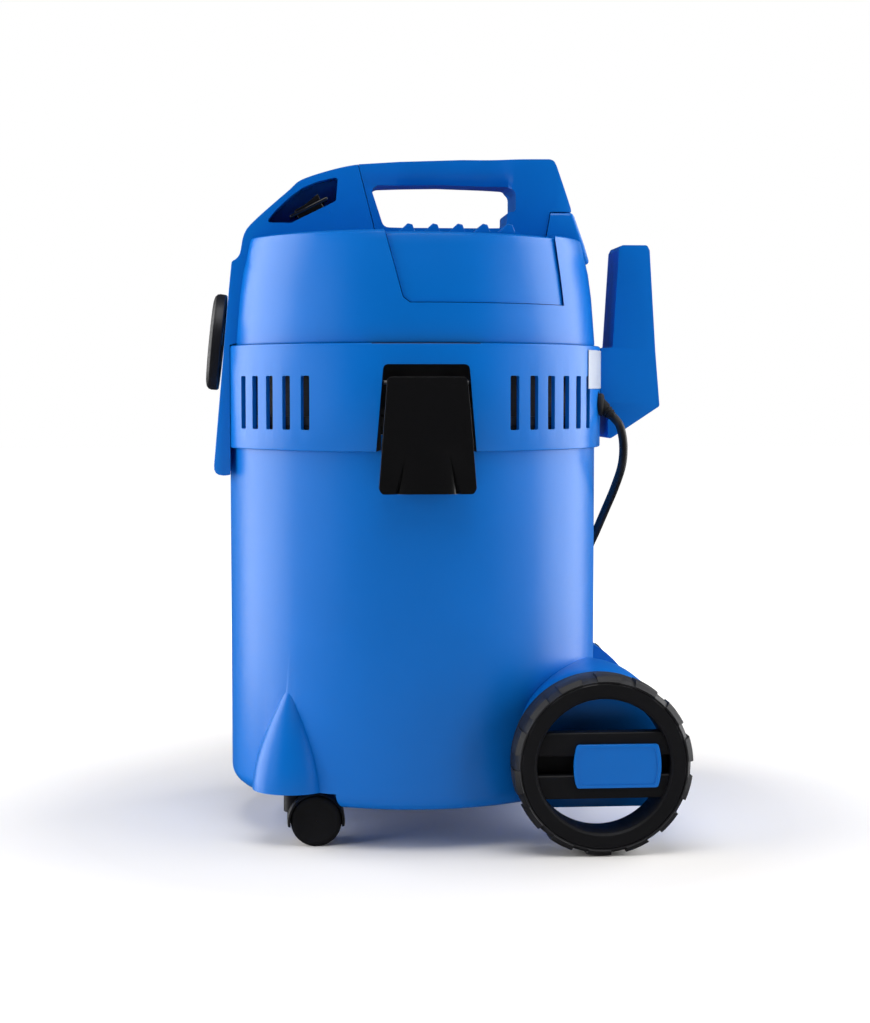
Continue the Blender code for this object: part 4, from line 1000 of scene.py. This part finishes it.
# %% Handle
GRIP_SIDE = ((-0.060, 0.430), (-0.060, 0.4985), (-0.042, 0.5025), (-0.010, 0.5055), (0.037, 0.5073),
             (0.1035, 0.5073), (0.1065, 0.506), (0.1085, 0.502), (0.1205, 0.4678), (0.108, 0.440))
HAND_OPENING = ((-0.0330, 0.4840), (-0.0285, 0.4875), (0.020, 0.4885), (0.0720, 0.4870), (0.0775, 0.4830),
                (0.0775, 0.4675), (0.0710, 0.4675), (0.0710, 0.4555), (-0.0235, 0.4555))
PANEL_INSET = 0.0016
LOUVRE_COUNT, LOUVRE_PITCH, LOUVRE_FIRST = 5, 0.0185, -0.010

saddle = dome("saddle", PANEL_INSET)
cut(saddle, dome("deck_inside", WALL + PANEL_INSET, COVER_BOTTOM - 0.001))
grip = outlined("grip", [soft_corners(GRIP_SIDE, 0.008)], -0.05, 0.05)
boolean(grip, "INTERSECT", ridge("grip_plan", 0.40, 0.55))
rounded(grip, 0.0035, 4, 50)
cut(grip, outlined("hand_opening", [soft_corners(HAND_OPENING, 0.006)], -0.06, 0.06))
slice_at(grip, (0.4925, 0.4975, 0.5005), axis=2)
for height, narrow in ((0.4905, 0.86), (0.4950, 0.95)):
    select_where(grip, lambda v: v.z < height and v.z > 0.470 and -0.031 < v.y < 0.074)
    bpy.ops.transform.resize(value=(narrow, 1, 1), center_override=(0, 0.02, 0.48))
    bpy.ops.object.mode_set(mode="OBJECT")
cut(grip, dome("grip_underside", WALL * 0.6, COVER_BOTTOM - 0.001))
union(saddle, grip)
boolean(saddle, "INTERSECT", outlined("handle_span", [HANDLE_SEAM], -0.16, 0.16))
louvre_low = LOUVRE_FIRST - 0.010
louvre_high = LOUVRE_FIRST + (LOUVRE_COUNT - 1) * LOUVRE_PITCH + 0.010
for side, sign in SIDES.items():
    cut(saddle, block("louvre_window", (sign * 0.034, louvre_low - GAP, 0.42),
                      (sign * 0.0843, louvre_high + GAP, 0.47)))
finish(saddle, "head", blue_cover, ["handle_cover"], 30)


# %% Air louvres beside the grip
def louvre(side, sign):
    """A grille of slanted ribs, drawn once as an outline and copied along the machine."""
    made = block(f"air_louvre_{side}", (sign * (0.034 + GAP), louvre_low, 0.4440),
                 (sign * 0.084, louvre_high, 0.4475))
    for number in range(LOUVRE_COUNT):
        y = LOUVRE_FIRST + number * LOUVRE_PITCH
        rib = ((y - 0.007, 0.4465), (y + 0.007, 0.4465), (y + 0.0045, 0.4532), (y + 0.001, 0.4540))
        union(made, outlined("rib", [soft_corners(rib, 0.001)], *across(sign, 0.038, 0.080), 0.0006, 2))
        if number:
            y -= LOUVRE_PITCH / 2
            cut(made, block("air_gap", (sign * 0.041, y - 0.0017, 0.43), (sign * 0.077, y + 0.0017, 0.47)))
    return finish(made, "head", blue_cover, [f"deck_louvre_{side}"])


for side, sign in SIDES.items():
    louvre(side, sign)

# %% [markdown]
# ## Switch
# A rocker sits in a sloping recess on the left of the hump. Its bezel is a small frame, and the rocker
# is an outline of a shallow V with soft edges, polished so that it stands out from the satin cover.

# %% Switch
bezel = block("switch_frame", (SWITCH_X - 0.0105, -0.0160, GAP), (SWITCH_X + 0.0105, 0.0160, 0.0030),
              0.0010)
cut(bezel, block("bezel_window", (SWITCH_X - SWITCH_HALF, -SWITCH_REACH, -0.01),
                 (SWITCH_X + SWITCH_HALF, SWITCH_REACH, 0.01)))
finish(sloped(bezel), "head", switch_plastic, ["switch_bezel"])
rocker_side = ((-0.0105, -0.004), (0.0105, -0.004), (0.0112, 0.0085), (0.0, 0.0055), (-0.0112, 0.0050))
rocker = outlined("rocker_key", [soft_corners(rocker_side, 0.0016)], SWITCH_X - 0.0072,
                  SWITCH_X + 0.0072, 0.0009, 3)
finish(sloped(rocker), "rocker", switch_plastic, ["switch_rocker"])

# %% [markdown]
# ## Hose inlet
# The hose pushes into a round collar low on the spine. It is turned: a soft outer rim, a flat face, a
# raised lip, and the bore that the hose seals in. Behind it an elbow sends the air down into the tank.

# %% Inlet collar
INLET_RADIUS, HOSE_BORE = 0.037, 0.018
inlet_rows = moved(((-0.0010, -0.0003), (-0.0002, 0.0008), (0, 0.0050), (-0.0006, 0.0072),
                    (-0.0024, 0.0088), (-0.0052, 0.0095), (-0.0068, 0.0094), (-0.0076, 0.0084)), INLET_RADIUS)
inlet_rows += moved(((0.0052, 0.0082), (0.0044, 0.0092), (0.0016, 0.0092), (0.0002, 0.0082), (0, 0.0060),
                     (0, -0.0003)), HOSE_BORE)
collar = turned("hose_collar", inlet_rows, 128, True, (0, INLET_Y, INLET_Z),
                (0, -cos(INLET_TILT), sin(INLET_TILT)))
finish(collar, "head", inlet_plastic, ["inlet_collar"])

# %% [markdown]
# ## Accessory post, rating plate
# A hollow post behind the head holds a nozzle or a tube. It is an outline with rounded edges, cut out
# from below. Beside it sits a plate of pale film, left blank here.

# %% Accessory post
post_side = ((0.1580, 0.4390), (0.1600, 0.4430), (0.1800, 0.4430), (0.1820, 0.4390), (0.1870, 0.361),
             (0.1906, 0.319), (0.1625, 0.3005), (0.1500, 0.2925), (0.1500, 0.322), (0.1400, 0.322),
             (0.1400, 0.364), (0.1535, 0.364))
post_inside = ((0.1608, 0.4300), (0.1792, 0.4300), (0.1840, 0.361), (0.1872, 0.3215), (0.1872, 0.28),
               (0.1530, 0.28), (0.1530, 0.322), (0.1565, 0.361))
post = rounded(outlined("nozzle_post", [soft_corners(post_side, 0.0025)], -0.024, 0.024), 0.0022, 4, 50)
back = SKIRT_RADIUS + GAP
cut(post, outlined("post_inside", [soft_corners(post_inside, 0.003)], -0.0212, 0.0212),
    turned("post_back", ((0.0004, 0.28), (back, 0.28), (back, 0.37), (0.0004, 0.37)), 256, False))
finish(post, "head", blue_cover, ["accessory_post"])

# %% Blank plate
plate_low, plate_high = SKIRT_RADIUS + 0.0003, SKIRT_RADIUS + 0.0009
plate = turned("blank_plate", ((plate_low, 0.3325), (plate_high - 0.0002, 0.3325), (plate_high, 0.3328),
                               (plate_high, 0.3612), (plate_high - 0.0002, 0.3615), (plate_low, 0.3615)), 256)
boolean(plate, "INTERSECT", placed_round(block("plate_span", (0.13, -0.0215, 0.30), (0.16, 0.0215, 0.38)),
                                         radians(68.5), 1))
finish(plate, "head", label_film, ["rating_plate"])


# %% [markdown]
# ## Latches
# Two over-centre clips hold the head on the tank. Each turns on a pin in its pocket and hooks over a
# pad on the tank. They are polished, and two tall facets at the foot of each give the fingers a grip.
# The facets are slanted cuts, made after the edges are rounded, because a rounding near a boolean cut
# easily spoils the shell.

# %% Latches
LATCH_PIN_X, LATCH_PIN_Z = 0.1395, 0.337
FACET_TURN = radians(29)


def crosswise(obj):
    """Turns an outline drawn in X and Z so that its thickness runs along Y."""
    obj.rotation_euler.z = -pi / 2
    return settle(obj)


def latch(side, sign):
    shape = ((-0.0282, 0.3410), (0.0282, 0.3410), (0.0345, 0.2625), (0.0325, 0.2585),
             (-0.0325, 0.2585), (-0.0345, 0.2625))
    made = outlined(f"latch_clip_{side}", [soft_corners(shape, 0.0034)], *across(sign, 0.1463, 0.1555))
    shave = ((sign * 0.1400, 0.36), (sign * 0.1505, 0.3425), (sign * 0.1540, 0.3200), (sign * 0.1550, 0.3000),
             (sign * 0.1552, 0.25), (sign * 0.17, 0.25), (sign * 0.17, 0.36))
    cut(made, crosswise(outlined("latch_face", [shave], -0.05, 0.05)))
    rounded(made, 0.0018, 4, 40)
    for end in (-1, 1):
        shape = ((0, 0.2560), (end * 0.0080, 0.2560), (end * 0.0004, 0.2875), (0, 0.2875))
        facet = outlined("facet", [shape], *across(sign, 0.0, 0.012))
        facet.rotation_euler.z = sign * end * FACET_TURN
        facet.location = (sign * 0.1553, end * 0.0150, 0)
        cut(made, facet)
    cut(made, block("latch_hollow", (sign * 0.140, -0.0255, 0.25), (sign * 0.1495, 0.0255, 0.3300)))
    for y in (-0.0235, 0.0235):
        ear = ((sign * 0.1480, 0.3405), (sign * 0.1365, 0.3405), (sign * 0.1360, 0.3335),
               (sign * 0.1390, 0.3325), (sign * 0.1480, 0.3250))
        union(made, crosswise(outlined("ear", [ear], -y - 0.002, -y + 0.002)))
    union(made, block("lip", (sign * 0.1443, -0.0175, 0.2640), (sign * 0.1500, 0.0175, 0.2700)))
    cut(made, bar("pin_bore", 0.0018, (sign * LATCH_PIN_X, -0.04, LATCH_PIN_Z),
                  (sign * LATCH_PIN_X, 0.04, LATCH_PIN_Z), 24))
    return finish(made, f"latch_{side}", gloss_plastic, [f"latch_{side}"], 35)


for side, sign in SIDES.items():
    latch(side, sign)

# %% [markdown]
# ## Filter
# A pleated cartridge hangs under the head, and shows when the head is lifted off. Pleats give a small
# filter a large surface. Its plan is a star with many points, drawn as an outline and given its height,
# between two plain caps.

# %% Filter
PLEATS = 64
plate_bottom = 0.3063
star = []
for number in range(PLEATS):
    for radius, offset in ((0.0722, -0.22), (0.0722, 0.22), (0.0645, 0.42), (0.0645, 0.58)):
        angle = 2 * pi * (number + offset) / PLEATS
        star.append((radius * cos(angle), radius * sin(angle)))
inner_circle = arc((0, 0), 0.0562, 0, -354, 59)
pleats = outlined("filter_pleats", [star, inner_circle], 0.1760, plate_bottom - 0.004, 0, 0, "XY")
cap_rows = ((0.0090, 0.1700), (0.0728, 0.1700), (0.0740, 0.1710), (0.0740, 0.1766), (0.0730, 0.1774),
            (0.0090, 0.1774))
cap = turned("filter_cap", cap_rows, 96)
top_rows = moved(((0.0560, -0.005), (0.0740, -0.005), (0.0740, 0), (0.0560, 0)), 0, plate_bottom)
union(pleats, cap, turned("filter_top", top_rows, 96))
finish(pleats, "head", filter_felt, ["filter_cartridge"])

# %% [markdown]
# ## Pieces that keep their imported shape
# The motor, the bearings, the pins and other plain engineering pieces already have their real shape,
# so they only take a finish.

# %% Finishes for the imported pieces
KEPT = {
    inner_plastic: ("motor_plate", "motor_housing", "float_cage", "filter_knob", "caster_socket_left",
                    "caster_socket_right"),
    inlet_plastic: ("inlet_elbow",),
    seal_rubber: ("tank_seal", "motor_gasket"),
    steel: ("stub_axle_left", "stub_axle_right", "caster_stem_left", "caster_stem_right",
            "caster_axle_left", "caster_axle_right", "latch_pin_left", "latch_pin_right", "fan_cover",
            "motor_stator", "lower_bearing", "upper_bearing", "rotor_shaft"),
    aluminium: ("impeller",),
    copper: ("armature",),
    foam: ("exhaust_foam",),
    float_plastic: ("float_ball",),
}
for material, nodes in KEPT.items():
    for node in nodes:
        for material_slot in frame["nodes"][node].material_slots:
            material_slot.material = material

# %% [markdown]
# ## Floor and lights
# A white sweep and large soft lights in front and behind show satin plastic best: each light leaves one
# long pale band where the round tank turns away, and the middle stays deep blue. The surroundings are
# dim to the plastic and white to the camera. The floor carries a painted glow, seen only by the camera,
# that grows as bright as the surroundings away from the machine and fades out near it, so no horizon
# shows and the shadow under the machine stays soft. Two strips light only the polished pieces and the
# tyres, whose edges need something to mirror.

# %% Floor
deselect()
bpy.ops.mesh.primitive_plane_add(size=14, location=(-2, 0, 0))
floor = named(bpy.context.object, "floor")
floor_finish, floor_tree, floor_shader = shader_tree("pale floor")
floor_shader.inputs["Base Color"].default_value = (0.95, 0.93, 0.91, 1)
floor_shader.inputs["Roughness"].default_value = 0.55
floor_shader.inputs["Specular IOR Level"].default_value = 0.2
settle(floor)
floor.data.materials.append(floor_finish)
# Painted glow seen only by the camera: none near the machine, rising to full strength away from it, so near
# the machine the floor shows only its real light and shadow.
place = floor_tree.nodes.new("ShaderNodeTexCoord")
distance = floor_tree.nodes.new("ShaderNodeVectorMath")
distance.operation = "LENGTH"
floor_tree.links.new(place.outputs["Object"], distance.inputs[0])
glow = spread(floor_tree, distance.outputs["Value"], 0.0, 1.0, 0.28, 1.15)
seen = floor_tree.nodes.new("ShaderNodeLightPath")
glow_seen = floor_tree.nodes.new("ShaderNodeMath")
glow_seen.operation = "MULTIPLY"
glowing = floor_tree.nodes.new("ShaderNodeEmission")
lit = floor_tree.nodes.new("ShaderNodeAddShader")
floor_tree.links.new(glow, glow_seen.inputs[0])
floor_tree.links.new(seen.outputs["Is Camera Ray"], glow_seen.inputs[1])
floor_tree.links.new(glow_seen.outputs[0], glowing.inputs["Strength"])
floor_tree.links.new(floor_shader.outputs[0], lit.inputs[0])
floor_tree.links.new(glowing.outputs[0], lit.inputs[1])
floor_tree.links.new(lit.outputs[0], floor_tree.nodes["Material Output"].inputs["Surface"])
floor.visible_glossy = False


# %% Backdrop and lights
def softbox(name, place, target, width, height, watts):
    bpy.ops.object.light_add(type="AREA", location=place)
    lamp = bpy.context.object
    lamp.name = name
    lamp.data.shape = "RECTANGLE"
    lamp.data.size, lamp.data.size_y = width, height
    lamp.data.energy = watts
    lamp.rotation_euler = (Vector(place) - Vector(target)).to_track_quat("Z", "Y").to_euler()
    return lamp


softbox("front_side_box", (-0.45, -1.40, 0.60), (0, AXIS_Y, 0.27), 1.3, 1.7, 24)
softbox("rear_side_box", (-0.33, 1.40, 0.60), (0, AXIS_Y, 0.27), 1.3, 1.7, 24)
softbox("top_box", (0.55, 0, 1.9), (0, AXIS_Y, 0.3), 1.4, 1.2, 18)
softbox("front_fill", (0.65, -1.7, 0.60), (0, AXIS_Y, 0.27), 1.2, 1.2, 17).visible_glossy = False
softbox("rear_fill", (0.65, 1.7, 0.60), (0, AXIS_Y, 0.27), 1.2, 1.2, 17).visible_glossy = False
polished = bpy.data.collections.new("polished pieces")
for piece in bpy.data.objects:
    if piece.name.startswith(("latch_clip", "switch_frame", "rocker_key", "rear_tyre")):
        polished.objects.link(piece)
for name, y in (("front_strip", -1.6), ("rear_strip", 1.6)):
    strip = softbox(name, (1.0, y, 0.50), (0, AXIS_Y, 0.27), 0.7, 1.6, 14)
    strip.light_linking.receiver_collection = polished
world = bpy.data.worlds.new("studio")
bpy.context.scene.world = world
world.use_nodes = True
sky_tree = world.node_tree
sky = sky_tree.nodes["Background"]
sky.inputs["Color"].default_value = (1, 1, 1, 1)
sky.inputs["Strength"].default_value = 0.03
white_sky = sky_tree.nodes.new("ShaderNodeBackground")
white_sky.inputs["Color"].default_value = (1, 1, 1, 1)
white_sky.inputs["Strength"].default_value = 1.0
seen = sky_tree.nodes.new("ShaderNodeLightPath")
chosen = sky_tree.nodes.new("ShaderNodeMixShader")
sky_tree.links.new(seen.outputs["Is Camera Ray"], chosen.inputs["Fac"])
sky_tree.links.new(sky.outputs[0], chosen.inputs[1])
sky_tree.links.new(white_sky.outputs[0], chosen.inputs[2])
sky_tree.links.new(chosen.outputs[0], sky_tree.nodes["World Output"].inputs["Surface"])
bpy.context.scene.view_settings.view_transform = "Standard"
